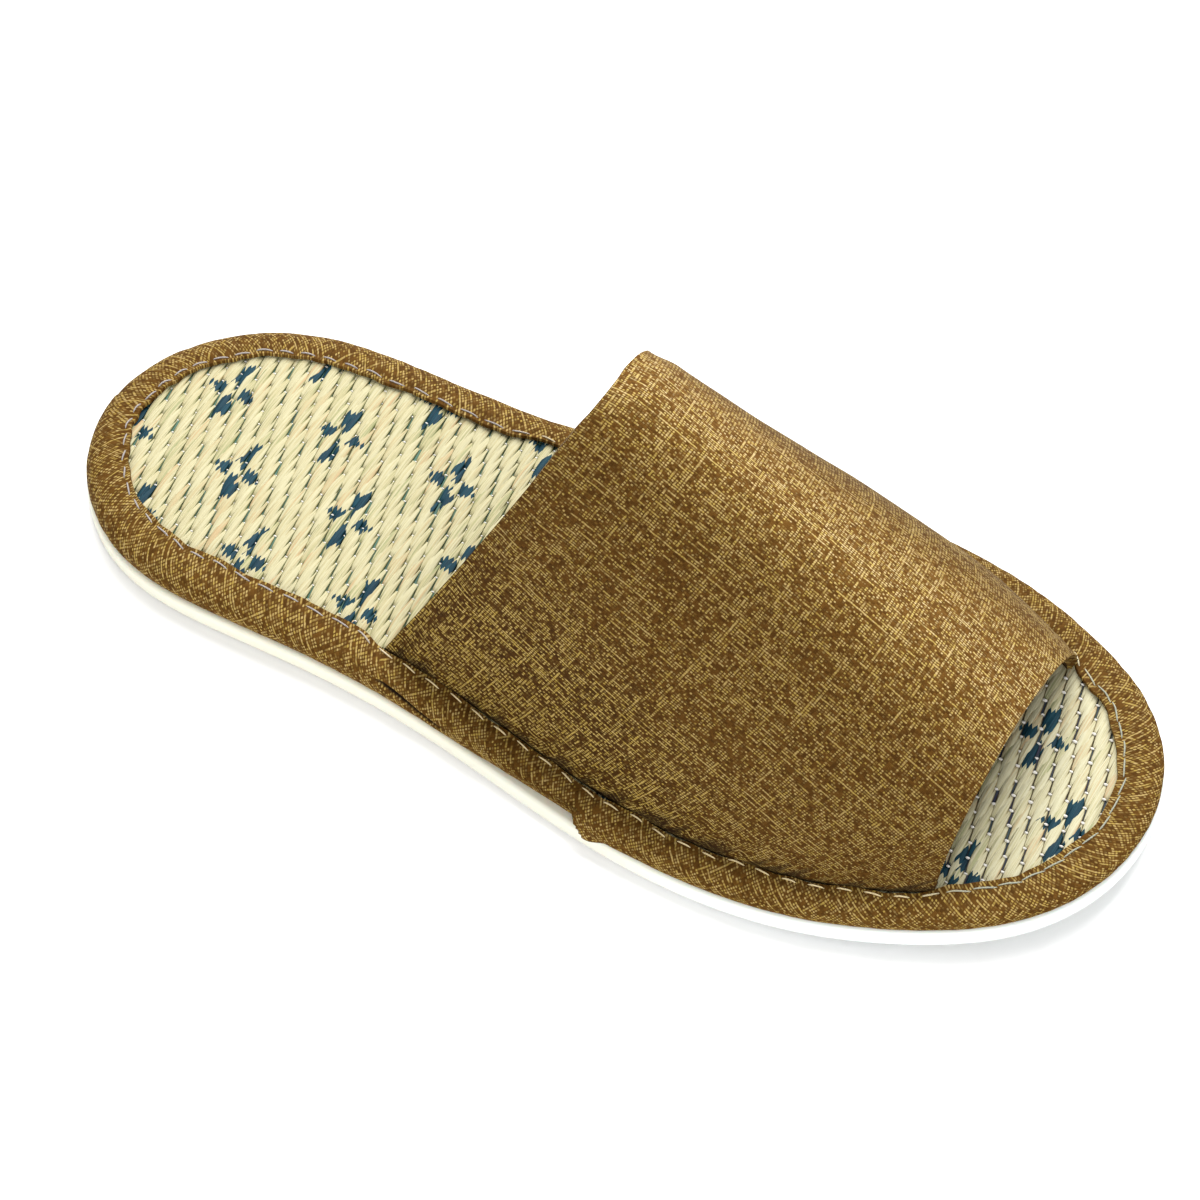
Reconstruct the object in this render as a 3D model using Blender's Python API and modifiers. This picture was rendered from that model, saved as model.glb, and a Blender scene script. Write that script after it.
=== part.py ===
"""Tatami slipper: foam outsole, rush-faced footbed, cloth binding and padded open-toe upper."""
import math
from typing import NamedTuple

import bpy
import bmesh
import numpy as np

# Units and frame: sizes below are millimetres, the mesh is metres.
# The toe points to -Y, the heel to +Y, and the sole rests on Z = 0.
MM = 0.001


class CrossLine(NamedTuple):
    """One cross line of the plan: its share of the length from the heel, and how full the plan is there."""

    share: float
    fullness: float


class Arch(NamedTuple):
    """One arch of the upper, from side to side.

    base_y is where it meets the footbed, lean its forward shift per unit of rise, rise its height over
    the footbed, squareness the power of the arch, and bulge its extra half width.
    """

    base_y: float
    lean: float
    rise: float
    squareness: float
    bulge: float


# Plan outline of the bound footbed.
# The half width on a cross line is its fullness times the height of a half circle at that share.
LENGTH = 262.0
OUTLINE = (
    CrossLine(share=0.0, fullness=68.3),
    CrossLine(share=0.1, fullness=61.9),
    CrossLine(share=0.2, fullness=52.1),
    CrossLine(share=0.3, fullness=45.7),
    CrossLine(share=0.4, fullness=44.9),
    CrossLine(share=0.5, fullness=48.6),
    CrossLine(share=0.6, fullness=54.5),
    CrossLine(share=0.7, fullness=60.0),
    CrossLine(share=0.8, fullness=64.2),
    CrossLine(share=0.9, fullness=68.0),
    CrossLine(share=1.0, fullness=76.5),
)
SIDE_STEPS = 40

# Outsole
SOLE_THICK = 4.7
SOLE_PROUD = 0.3
SOLE_CHAMFER = 0.6
SPRING_START = 0.62
TOE_SPRING = 3.9

# Height of the tape's inner edge over the outsole, at the heel and at the ball
HEEL_LIFT = 7.4
BALL_LIFT = 3.8
LIFT_FALL_START = 0.18
LIFT_FALL_END = 0.60

# Binding tape
LIP_INSET = 9.9
LIP_INSET_AT_UPPER = 7.9
LIP_BLEND = 9.0
TAPE_THICK = 0.8
TAPE_SQUARENESS = 2.2
TAPE_SIDE_SHARE = 0.35
TAPE_TUCK = 1.15
TAPE_TURN_IN = 0.35
TAPE_TURN_SHARE = 0.45
TAPE_TOP_STEPS = 6

# Footbed
INSOLE_DROP = 1.3
INSOLE_EDGE = 1.3
INSOLE_UNDERCUT = 0.4
INSOLE_DOME = 1.0
DOME_SCALES = (0.82, 0.6, 0.3, 0.0)

# Upper: its arches at the throat edge, half way and at the toe edge
UPPER_THROAT = Arch(base_y=35.9, lean=0.54, rise=76.1, squareness=2.26, bulge=2.2)
UPPER_MIDDLE = Arch(base_y=-31.5, lean=0.05, rise=61.4, squareness=1.72, bulge=1.1)
UPPER_TOE = Arch(base_y=-98.9, lean=0.06, rise=18.6, squareness=1.90, bulge=0.0)
UPPER_WALL = 2.6
UPPER_ROUND = 1.05
UPPER_ROUND_STEPS = 2
UPPER_EDGE_ANGLE = math.radians(60.0)
UPPER_LONG_STEPS = 24
UPPER_ARCH_STEPS = 32
UPPER_INSET = 8.4
UPPER_FOOT = 0.5

# Clearance between neighbouring pieces
GAP = 0.3

# Points nearer than this, in metres, are one point
WELD_DISTANCE = 1e-7

# Colours as seen, in linear light
COLOURS = {
    "outsole": ("ivory_foam", (0.86, 0.84, 0.74), 0.55),
    "insole": ("rush_mat", (0.72, 0.64, 0.42), 0.60),
    "binding": ("brown_tape", (0.16, 0.085, 0.030), 0.85),
    "upper": ("brown_cloth", (0.17, 0.095, 0.034), 0.85),
}


def clear_scene():
    """Remove every object that the scene starts with."""
    for item in list(bpy.data.objects):
        bpy.data.objects.remove(item, do_unlink=True)


def smooth_step(value, start, end):
    """Blend from 0 at start to 1 at end."""
    share = np.clip((value - start) / (end - start), 0.0, 1.0)
    return share * share * (3.0 - 2.0 * share)


def outline_fullness(where):
    """Natural cubic curve through the cross lines, read at any share of the length."""
    knots = np.array([line.share for line in OUTLINE])
    values = np.array([line.fullness for line in OUTLINE])
    steps = np.diff(knots)
    slopes = np.diff(values) / steps
    count = len(knots)
    matrix = np.eye(count)
    target = np.zeros(count)
    for i in range(1, count - 1):
        matrix[i, i - 1] = steps[i - 1]
        matrix[i, i] = 2.0 * (steps[i - 1] + steps[i])
        matrix[i, i + 1] = steps[i]
        target[i] = 3.0 * (slopes[i] - slopes[i - 1])
    bend = np.linalg.solve(matrix, target)
    cell = np.clip(np.searchsorted(knots, where) - 1, 0, count - 2)
    along = where - knots[cell]
    slope = slopes[cell] - steps[cell] * (2.0 * bend[cell] + bend[cell + 1]) / 3.0
    cube = (bend[cell + 1] - bend[cell]) / (3.0 * steps[cell])
    return values[cell] + along * (slope + along * (bend[cell] + along * cube))


def outline_ring():
    """Outline points and outward normals, from the heel along one side to the toe and back."""
    turn = np.linspace(0.0, 2.0 * math.pi, 2 * SIDE_STEPS, endpoint=False)
    share = 0.5 - 0.5 * np.cos(turn)
    half = np.sin(turn) * outline_fullness(share)
    points = np.stack([-half, LENGTH * (0.5 - share)], axis=1)
    along = np.roll(points, -1, axis=0) - np.roll(points, 1, axis=0)
    along /= np.linalg.norm(along, axis=1, keepdims=True)
    normals = np.stack([-along[:, 1], along[:, 0]], axis=1)
    if np.sum(points * normals) < 0.0:
        normals = -normals
    return points, normals


RING, RING_NORMALS = outline_ring()


def inset_ring(inset):
    """The outline moved inward by an inset, a number or one value for each point."""
    return RING - RING_NORMALS * np.broadcast_to(inset, len(RING))[:, None]


def share_at(y):
    """Share of the length from the heel at a lengthwise position."""
    return 0.5 - np.asarray(y) / LENGTH


def underside(y):
    """Height of the outsole's underside: flat, then sprung at the toe."""
    past = np.clip((share_at(y) - SPRING_START) / (1.0 - SPRING_START), 0.0, None)
    return TOE_SPRING * past * past


def sole_top(y):
    """Height of the outsole's upper face."""
    return underside(y) + SOLE_THICK


def tape_lift(y):
    """Height of the tape's inner edge over the outsole."""
    fall = smooth_step(share_at(y), LIFT_FALL_START, LIFT_FALL_END)
    return HEEL_LIFT + (BALL_LIFT - HEEL_LIFT) * fall


def mat_level(y):
    """Height of the rush face at the edge of the footbed."""
    return sole_top(y) + tape_lift(y) - INSOLE_DROP


def lip_inset(y):
    """Inset of the tape's inner edge, less where the upper is held under it."""
    throat = UPPER_THROAT.base_y
    toe = UPPER_TOE.base_y
    held = smooth_step(y, throat + LIP_BLEND, throat) * smooth_step(y, toe - LIP_BLEND, toe)
    return LIP_INSET + (LIP_INSET_AT_UPPER - LIP_INSET) * held


def place(ring, height):
    """A plan ring set at a height, a number or one value for each point."""
    return np.column_stack([ring, np.broadcast_to(height, len(ring))])


def pull_in(ring, scale):
    """A ring drawn toward the long axis, to the axis itself at scale 0."""
    drawn = ring.copy()
    drawn[:, 0] *= scale
    return drawn


def add_object(name, vertices, faces, collection):
    """Make one named object with its own material from a list of faces in millimetres."""
    mesh = bpy.data.meshes.new(name)
    mesh.from_pydata((np.asarray(vertices) * MM).tolist(), [], faces)
    shape = bmesh.new()
    shape.from_mesh(mesh)
    bmesh.ops.remove_doubles(shape, verts=shape.verts, dist=WELD_DISTANCE)
    bmesh.ops.dissolve_degenerate(shape, edges=shape.edges, dist=WELD_DISTANCE)
    bmesh.ops.recalc_face_normals(shape, faces=shape.faces)
    shape.to_mesh(mesh)
    shape.free()
    mesh.shade_smooth()
    label, colour, roughness = COLOURS[name]
    material = bpy.data.materials.new(label)
    material.use_nodes = True
    surface = material.node_tree.nodes["Principled BSDF"]
    surface.inputs["Base Color"].default_value = (*colour, 1.0)
    surface.inputs["Roughness"].default_value = roughness
    surface.inputs["Metallic"].default_value = 0.0
    mesh.materials.append(material)
    item = bpy.data.objects.new(name, mesh)
    collection.objects.link(item)
    return item


def ring_faces(rows, around, closed):
    """Quads between neighbouring rows of points."""
    faces = []
    last = around if closed else around - 1
    for i in range(rows - 1):
        for j in range(last):
            k = (j + 1) % around
            faces.append((i * around + j, i * around + k, (i + 1) * around + k, (i + 1) * around + j))
    return faces


def loft(name, rings, collection):
    """A solid through closed rings whose first and last ring lie on the long axis."""
    faces = ring_faces(len(rings), len(RING), True)
    return add_object(name, np.concatenate(rings), faces, collection)


def build_outsole(collection):
    """Foam sheet with chamfered edges, sprung at the toe."""
    outer = inset_ring(-SOLE_PROUD)
    inner = inset_ring(SOLE_CHAMFER - SOLE_PROUD)
    low = underside(inner[:, 1])
    side = underside(outer[:, 1])
    rings = [
        place(pull_in(inner, 0.0), low),
        place(inner, low),
        place(outer, side + SOLE_CHAMFER),
        place(outer, side + SOLE_THICK - SOLE_CHAMFER),
        place(inner, low + SOLE_THICK),
        place(pull_in(inner, 0.0), low + SOLE_THICK),
    ]
    return loft("outsole", rings, collection)


def tape_profile(inset, lift):
    """Rows of inset and height over the outsole, from the tape's lip down to its tuck."""
    side = TAPE_SIDE_SHARE * lift
    rows = []
    for turn in np.linspace(0.0, 0.5 * math.pi, TAPE_TOP_STEPS):
        out = math.sin(turn) ** (2.0 / TAPE_SQUARENESS)
        up = max(math.cos(turn), 0.0) ** (2.0 / TAPE_SQUARENESS)
        rows.append((inset * (1.0 - out), side + (lift - side) * up))
    rows.append((TAPE_TURN_IN, GAP + TAPE_TURN_SHARE * (side - GAP)))
    rows.append((TAPE_TUCK, GAP))
    return rows


def build_binding(collection):
    """Cloth tape round the footbed: a rounded sheet given its thickness inward."""
    base_y = RING[:, 1]
    inset = lip_inset(base_y)
    lift = tape_lift(base_y)
    rings = []
    for row_inset, row_height in tape_profile(inset, lift):
        plan = inset_ring(row_inset)
        rings.append(place(plan, sole_top(plan[:, 1]) + row_height))
    faces = ring_faces(len(rings), len(RING), True)
    item = add_object("binding", np.concatenate(rings), faces, collection)
    shell = item.modifiers.new("thickness", "SOLIDIFY")
    shell.thickness = TAPE_THICK * MM
    shell.offset = -1.0
    shell.use_even_offset = True
    return item


def build_insole(collection):
    """Footbed: undercut edge inside the tape, gently domed rush face."""
    base_y = RING[:, 1]
    lip = lip_inset(base_y)
    lift = tape_lift(base_y)
    side = TAPE_SIDE_SHARE * lift
    foot = inset_ring(TAPE_TUCK + INSOLE_EDGE + INSOLE_UNDERCUT)
    rings = [
        place(pull_in(foot, 0.0), sole_top(foot[:, 1]) + GAP),
        place(foot, sole_top(foot[:, 1]) + GAP),
    ]
    for turn in np.linspace(0.5 * math.pi, 0.0, TAPE_TOP_STEPS - 1):
        out = math.sin(turn) ** (2.0 / TAPE_SQUARENESS)
        up = max(math.cos(turn), 0.0) ** (2.0 / TAPE_SQUARENESS)
        plan = inset_ring(lip - (lip - INSOLE_EDGE) * out)
        rings.append(place(plan, sole_top(plan[:, 1]) + side + (lift - INSOLE_DROP - side) * up))
    face = inset_ring(lip)
    reach = np.max(np.abs(face[:, 1]))
    for scale in DOME_SCALES:
        dome = INSOLE_DOME * (1.0 - scale ** 2) * (1.0 - (face[:, 1] / reach) ** 2)
        rings.append(place(pull_in(face, scale), mat_level(face[:, 1]) + dome))
    return loft("insole", rings, collection)


def upper_point_grid():
    """Outer face of the upper: arches from side to side, swept from throat to toe."""
    along = np.linspace(0.0, 1.0, UPPER_LONG_STEPS + 1)[:, None]
    turn = np.linspace(0.0, math.pi, UPPER_ARCH_STEPS + 1)[None, :]
    swept = []
    for throat, middle, toe in zip(UPPER_THROAT, UPPER_MIDDLE, UPPER_TOE):
        bow = 4.0 * middle - 2.0 * (throat + toe)
        swept.append(throat + (toe - throat) * along + bow * along * (1.0 - along))
    arch = Arch(*swept)
    power = 2.0 / arch.squareness
    hem = inset_ring(UPPER_INSET)[: SIDE_STEPS + 1]
    order = np.argsort(hem[:, 1])
    half = np.interp(arch.base_y, hem[order, 1], -hem[order, 0])
    half = half + arch.bulge * np.sin(turn)
    side = np.cos(turn)
    rise = arch.rise * np.clip(np.sin(turn), 0.0, 1.0) ** power
    x = -half * np.sign(side) * np.abs(side) ** power
    y = arch.base_y - arch.lean * rise
    z = mat_level(arch.base_y) + UPPER_FOOT + rise
    return np.stack([x, y, z], axis=2)


def build_upper(collection):
    """Padded cloth vamp: an open arch given its wall inward, with rounded edges."""
    grid = upper_point_grid()
    faces = ring_faces(grid.shape[0], grid.shape[1], False)
    item = add_object("upper", grid.reshape(-1, 3), faces, collection)
    shell = item.modifiers.new("wall", "SOLIDIFY")
    shell.thickness = UPPER_WALL * MM
    shell.offset = -1.0
    shell.use_even_offset = True
    edge = item.modifiers.new("turned_edge", "BEVEL")
    edge.width = UPPER_ROUND * MM
    edge.segments = UPPER_ROUND_STEPS
    edge.limit_method = "ANGLE"
    edge.angle_limit = UPPER_EDGE_ANGLE
    return item


def main():
    """Build the slipper in one collection."""
    clear_scene()
    collection = bpy.data.collections.new("tatami_slipper")
    bpy.context.scene.collection.children.link(collection)
    build_outsole(collection)
    build_insole(collection)
    build_binding(collection)
    build_upper(collection)


main()
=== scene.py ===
"""A tatami slipper dressed for its picture: foam sole, rush-faced footbed, bias tape and padded vamp."""
import logging
import math
from dataclasses import dataclass
from enum import Enum
from typing import Callable, Mapping, NamedTuple, Sequence

import bmesh
import bpy
import numpy as np
from mathutils import Matrix


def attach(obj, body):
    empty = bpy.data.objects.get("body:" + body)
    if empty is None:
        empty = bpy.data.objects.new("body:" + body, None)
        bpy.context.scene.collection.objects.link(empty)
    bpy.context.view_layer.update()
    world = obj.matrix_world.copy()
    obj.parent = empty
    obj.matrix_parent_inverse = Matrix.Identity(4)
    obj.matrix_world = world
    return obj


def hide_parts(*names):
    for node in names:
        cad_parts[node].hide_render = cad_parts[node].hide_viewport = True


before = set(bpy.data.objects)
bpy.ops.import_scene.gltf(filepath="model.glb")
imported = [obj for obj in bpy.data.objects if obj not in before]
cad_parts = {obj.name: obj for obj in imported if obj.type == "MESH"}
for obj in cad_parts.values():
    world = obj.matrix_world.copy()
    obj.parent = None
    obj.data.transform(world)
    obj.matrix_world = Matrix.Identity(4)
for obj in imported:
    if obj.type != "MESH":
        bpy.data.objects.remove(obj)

LOG = logging.getLogger("tatami_slipper")

# Sizes are millimetres unless a name says otherwise; meshes are metres.
# The toe points to -Y, the heel to +Y, and the near side of the picture is -X.
MM = 0.001
BODY = "root"
PATTERN_MAP = "weave"
WAVE_KNOTS = 512
LOFT_WELD = 0.002
SHARP_DEG = 60.0
NO_LENGTH = 1e-9

# A span is a pair of ends: where a blend starts and is whole, or the least and the most of a size.
Span = tuple[float, float]
Colour = tuple[float, float, float]


class Slot(Enum):
    """Material slots of the part, one named for each piece."""

    FOAM = "ivory_foam"
    RUSH = "rush_mat"
    TAPE = "brown_tape"
    CLOTH = "brown_cloth"


class CrossLine(NamedTuple):
    """One cross line of the plan: its share of the length from the heel, and how full the plan is there."""

    share: float
    fullness: float


class Arch(NamedTuple):
    """One arch of the vamp, from side to side.

    base_y is where it meets the footbed, lean its forward shift per unit of rise, rise its height over
    the footbed, squareness the power of the arch, and bulge its extra half width.
    """

    base_y: float
    lean: float
    rise: float
    squareness: float
    bulge: float


class Crease(NamedTuple):
    """One soft fold of the vamp.

    along is its place from throat to toe, side its place from the near hem to the far hem, both from 0
    to 1; length runs with the fold, width across it; tilt_deg turns it from the arch toward the toe;
    rise is its height, less than 0 for a trough.
    """

    along: float
    side: float
    length: float
    width: float
    tilt_deg: float
    rise: float


class Dye(NamedTuple):
    """One dyed row of the cross motif.

    group is its rush group from the centre, shift its middle across the mat, and it is dyed on both
    sides of that middle from one distance to the other.
    """

    group: int
    shift: float
    from_middle: float
    to_end: float


class Regions(NamedTuple):
    """One size round the heel, beside the vamp and round the toe."""

    heel: float
    side: float
    toe: float


class Lamp(NamedTuple):
    """One square soft light: its name, place, side length and power."""

    name: str
    place: tuple[float, float, float]
    size: float
    watts: float


def smooth_step(value: np.ndarray, start: float, end: float) -> np.ndarray:
    """Blend from 0 at start to 1 at end along an S curve."""
    share = np.clip((value - start) / (end - start), 0.0, 1.0)
    return share * share * (3.0 - 2.0 * share)


def bell(value: np.ndarray, half: float) -> np.ndarray:
    """A bell, 1 where the value is 0, that falls off over half on both sides."""
    return np.exp(-((value / half) ** 2))


def unit(vectors: np.ndarray) -> np.ndarray:
    """Vectors on the last axis, brought to length 1."""
    return vectors / np.maximum(np.linalg.norm(vectors, axis=-1, keepdims=True), NO_LENGTH)


def steps_along(points: np.ndarray, axis: int) -> np.ndarray:
    """Distances from point to point along one axis of a grid of points."""
    return np.linalg.norm(np.diff(points, axis=axis), axis=-1)


def distance_along(points: np.ndarray, axis: int) -> np.ndarray:
    """Distance travelled along one axis of a grid of points, 0 at its start."""
    steps = steps_along(points, axis)
    start = np.zeros_like(np.take(steps, [0], axis=axis))
    return np.concatenate([start, np.cumsum(steps, axis=axis)], axis=axis)


class Wave(NamedTuple):
    """A smooth irregular wave: its height, the distance between two random heights, and their seed."""

    height: float
    period: float
    seed: int

    def at(self, where: np.ndarray) -> np.ndarray:
        """Height of the wave at each position: random heights joined by S curves."""
        knots = np.random.default_rng(self.seed).uniform(-1.0, 1.0, WAVE_KNOTS)
        cell = np.floor(where / self.period).astype(int)
        blend = smooth_step(where / self.period - cell, 0.0, 1.0)
        first = knots[cell % WAVE_KNOTS]
        second = knots[(cell + 1) % WAVE_KNOTS]
        return self.height * (first + (second - first) * blend)


def grid_quads(rows: int, columns: int, wrap_rows: bool = False, wrap_columns: bool = False) -> np.ndarray:
    """Corner numbers of the quads of a grid of points.

    Args:
        rows: Rows of points.
        columns: Points in a row.
        wrap_rows: Whether the last row joins the first.
        wrap_columns: Whether the last column joins the first.

    Returns:
        One row of four point numbers for each quad.
    """
    row = np.arange(rows if wrap_rows else rows - 1)[:, None]
    column = np.arange(columns if wrap_columns else columns - 1)[None, :]
    next_row = (row + 1) % rows
    next_column = (column + 1) % columns
    corners = [
        row * columns + column,
        row * columns + next_column,
        next_row * columns + next_column,
        next_row * columns + column,
    ]
    return np.stack(np.broadcast_arrays(*corners), axis=-1).reshape(-1, 4)


def repeat_faces(faces: np.ndarray, points: int, copies: int) -> np.ndarray:
    """Faces of a shape repeated for many copies whose points follow one another."""
    shift = np.arange(copies)[:, None, None] * points
    return (faces[None] + shift).reshape(-1, faces.shape[1])


def lay_mesh(
    name: str,
    points: np.ndarray,
    faces: Sequence[np.ndarray],
    pattern: np.ndarray | None = None,
    marks: Mapping[str, np.ndarray] | None = None,
    weld: float = 0.0,
) -> bpy.types.Object:
    """Put arrays of points and faces into a new object at the origin.

    Args:
        name: The piece's name.
        points: Points in millimetres, one row each.
        faces: Arrays of point numbers, one row for each face; each array has faces of one corner count.
        pattern: Two pattern coordinates for each corner, in the order of the faces.
        marks: Named numbers for each point.
        weld: Points nearer than this are joined, and the faces are then turned outward.

    Returns:
        The new object, shaded smooth.
    """
    mesh = bpy.data.meshes.new(name)
    counts = np.concatenate([np.full(len(part), part.shape[1]) for part in faces])
    corners = np.concatenate([part.ravel() for part in faces])
    mesh.vertices.add(len(points))
    mesh.vertices.foreach_set("co", (points * MM).astype(np.float32).ravel())
    mesh.loops.add(len(corners))
    mesh.loops.foreach_set("vertex_index", corners.astype(np.int32))
    mesh.polygons.add(len(counts))
    starts = np.concatenate([[0], np.cumsum(counts)[:-1]])
    mesh.polygons.foreach_set("loop_start", starts.astype(np.int32))
    mesh.update(calc_edges=True)
    if pattern is not None:
        layer = mesh.uv_layers.new(name=PATTERN_MAP)
        layer.uv.foreach_set("vector", pattern.astype(np.float32).ravel())
    for label, numbers in (marks or {}).items():
        layer = mesh.attributes.new(label, "FLOAT", "POINT")
        layer.data.foreach_set("value", numbers.astype(np.float32).ravel())
    if weld > 0.0:
        shape = bmesh.new()
        shape.from_mesh(mesh)
        bmesh.ops.remove_doubles(shape, verts=shape.verts, dist=weld * MM)
        bmesh.ops.dissolve_degenerate(shape, edges=shape.edges, dist=weld * MM)
        bmesh.ops.recalc_face_normals(shape, faces=shape.faces)
        shape.to_mesh(mesh)
        shape.free()
    mesh.shade_smooth()
    piece = bpy.data.objects.new(name, mesh)
    bpy.context.scene.collection.objects.link(piece)
    return piece


def settle(piece: bpy.types.Object, slot: Slot, *materials: bpy.types.Material) -> bpy.types.Object:
    """Dress a piece, let it ride on the slipper's body and report it.

    Args:
        piece: The finished piece.
        slot: The part's material slot named for the piece; not used.
        materials: The piece's materials, in the order of its face numbers.

    Returns:
        The same piece.
    """
    for material in materials:
        piece.data.materials.append(material)
    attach(piece, BODY)
    LOG.info("%s: %d faces", piece.name, len(piece.data.polygons))
    return piece


def loft(
    name: str,
    rings: np.ndarray,
    levels: np.ndarray,
    marks: Mapping[str, np.ndarray] | None = None,
) -> bpy.types.Object:
    """Join rings into one closed piece whose first and last ring are drawn to the long axis.

    Args:
        name: The piece's name.
        rings: Plan points of each ring.
        levels: Height of each of those points.
        marks: Named numbers for each point.

    Returns:
        The new object.
    """
    grid = np.concatenate([rings, levels[..., None]], axis=2)
    faces = grid_quads(*grid.shape[:2], wrap_columns=True)
    return lay_mesh(name, grid.reshape(-1, 3), [faces], marks=marks, weld=LOFT_WELD)


def thicken(piece: bpy.types.Object, wall: float, edge_round: float, steps: int) -> bpy.types.Modifier:
    """Give a cloth face its wall, inward, and round its cut edges.

    Args:
        piece: The face.
        wall: Thickness of the wall.
        edge_round: Width of the rounding.
        steps: Steps of the rounding.

    Returns:
        The wall's modifier.
    """
    solid = piece.modifiers.new("wall", "SOLIDIFY")
    solid.thickness = wall * MM
    solid.offset = -1.0
    edge = piece.modifiers.new("turned_edge", "BEVEL")
    edge.width = edge_round * MM
    edge.segments = steps
    edge.limit_method = "ANGLE"
    edge.angle_limit = math.radians(SHARP_DEG)
    return solid


def stand(thing: bpy.types.Object, axes: Sequence[np.ndarray], place: np.ndarray) -> None:
    """Put a camera or a light at a place in millimetres, turned by its right, up and back axes."""
    columns = np.column_stack([*axes, place * MM])
    thing.matrix_world = Matrix([*columns.tolist(), [0.0, 0.0, 0.0, 1.0]])
    bpy.context.scene.collection.objects.link(thing)


def node_operator(operation: str, swapped: bool = False) -> Callable[..., "Value"]:
    """A method that adds the Math node of one operator, with its two terms swapped or not."""

    def method(self: "Value", other: "Value | float") -> "Value":
        """Result of the Math node."""
        terms = (other, self) if swapped else (self, other)
        return self.bench.maths(operation, *terms)

    return method


class Value:
    """A number on a node's socket; Python's operators on it add Math nodes."""

    def __init__(self, bench: "Bench", socket: bpy.types.NodeSocket) -> None:
        """Keep the socket and the bench whose nodes it belongs to."""
        self.bench = bench
        self.socket = socket

    __add__ = __radd__ = node_operator("ADD")
    __mul__ = __rmul__ = node_operator("MULTIPLY")
    __sub__ = node_operator("SUBTRACT")
    __rsub__ = node_operator("SUBTRACT", swapped=True)
    __truediv__ = node_operator("DIVIDE")
    __mod__ = node_operator("FLOORED_MODULO")
    __gt__ = node_operator("GREATER_THAN")
    __lt__ = node_operator("LESS_THAN")

    def floor(self) -> "Value":
        """Whole part of the value."""
        return self.bench.maths("FLOOR", self)

    def hump(self) -> "Value":
        """A round hump over each whole step: the height of a half sine wave."""
        return self.bench.maths("ABSOLUTE", self.bench.maths("SINE", self * math.pi))

    def step(self, start: float, end: float) -> "Value":
        """Blend from 0 at start to 1 at end along an S curve."""
        ends = {"Value": self, "From Min": start, "From Max": end}
        return self.bench.read("Result", "ShaderNodeMapRange", {"interpolation_type": "SMOOTHSTEP"}, ends)


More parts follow.
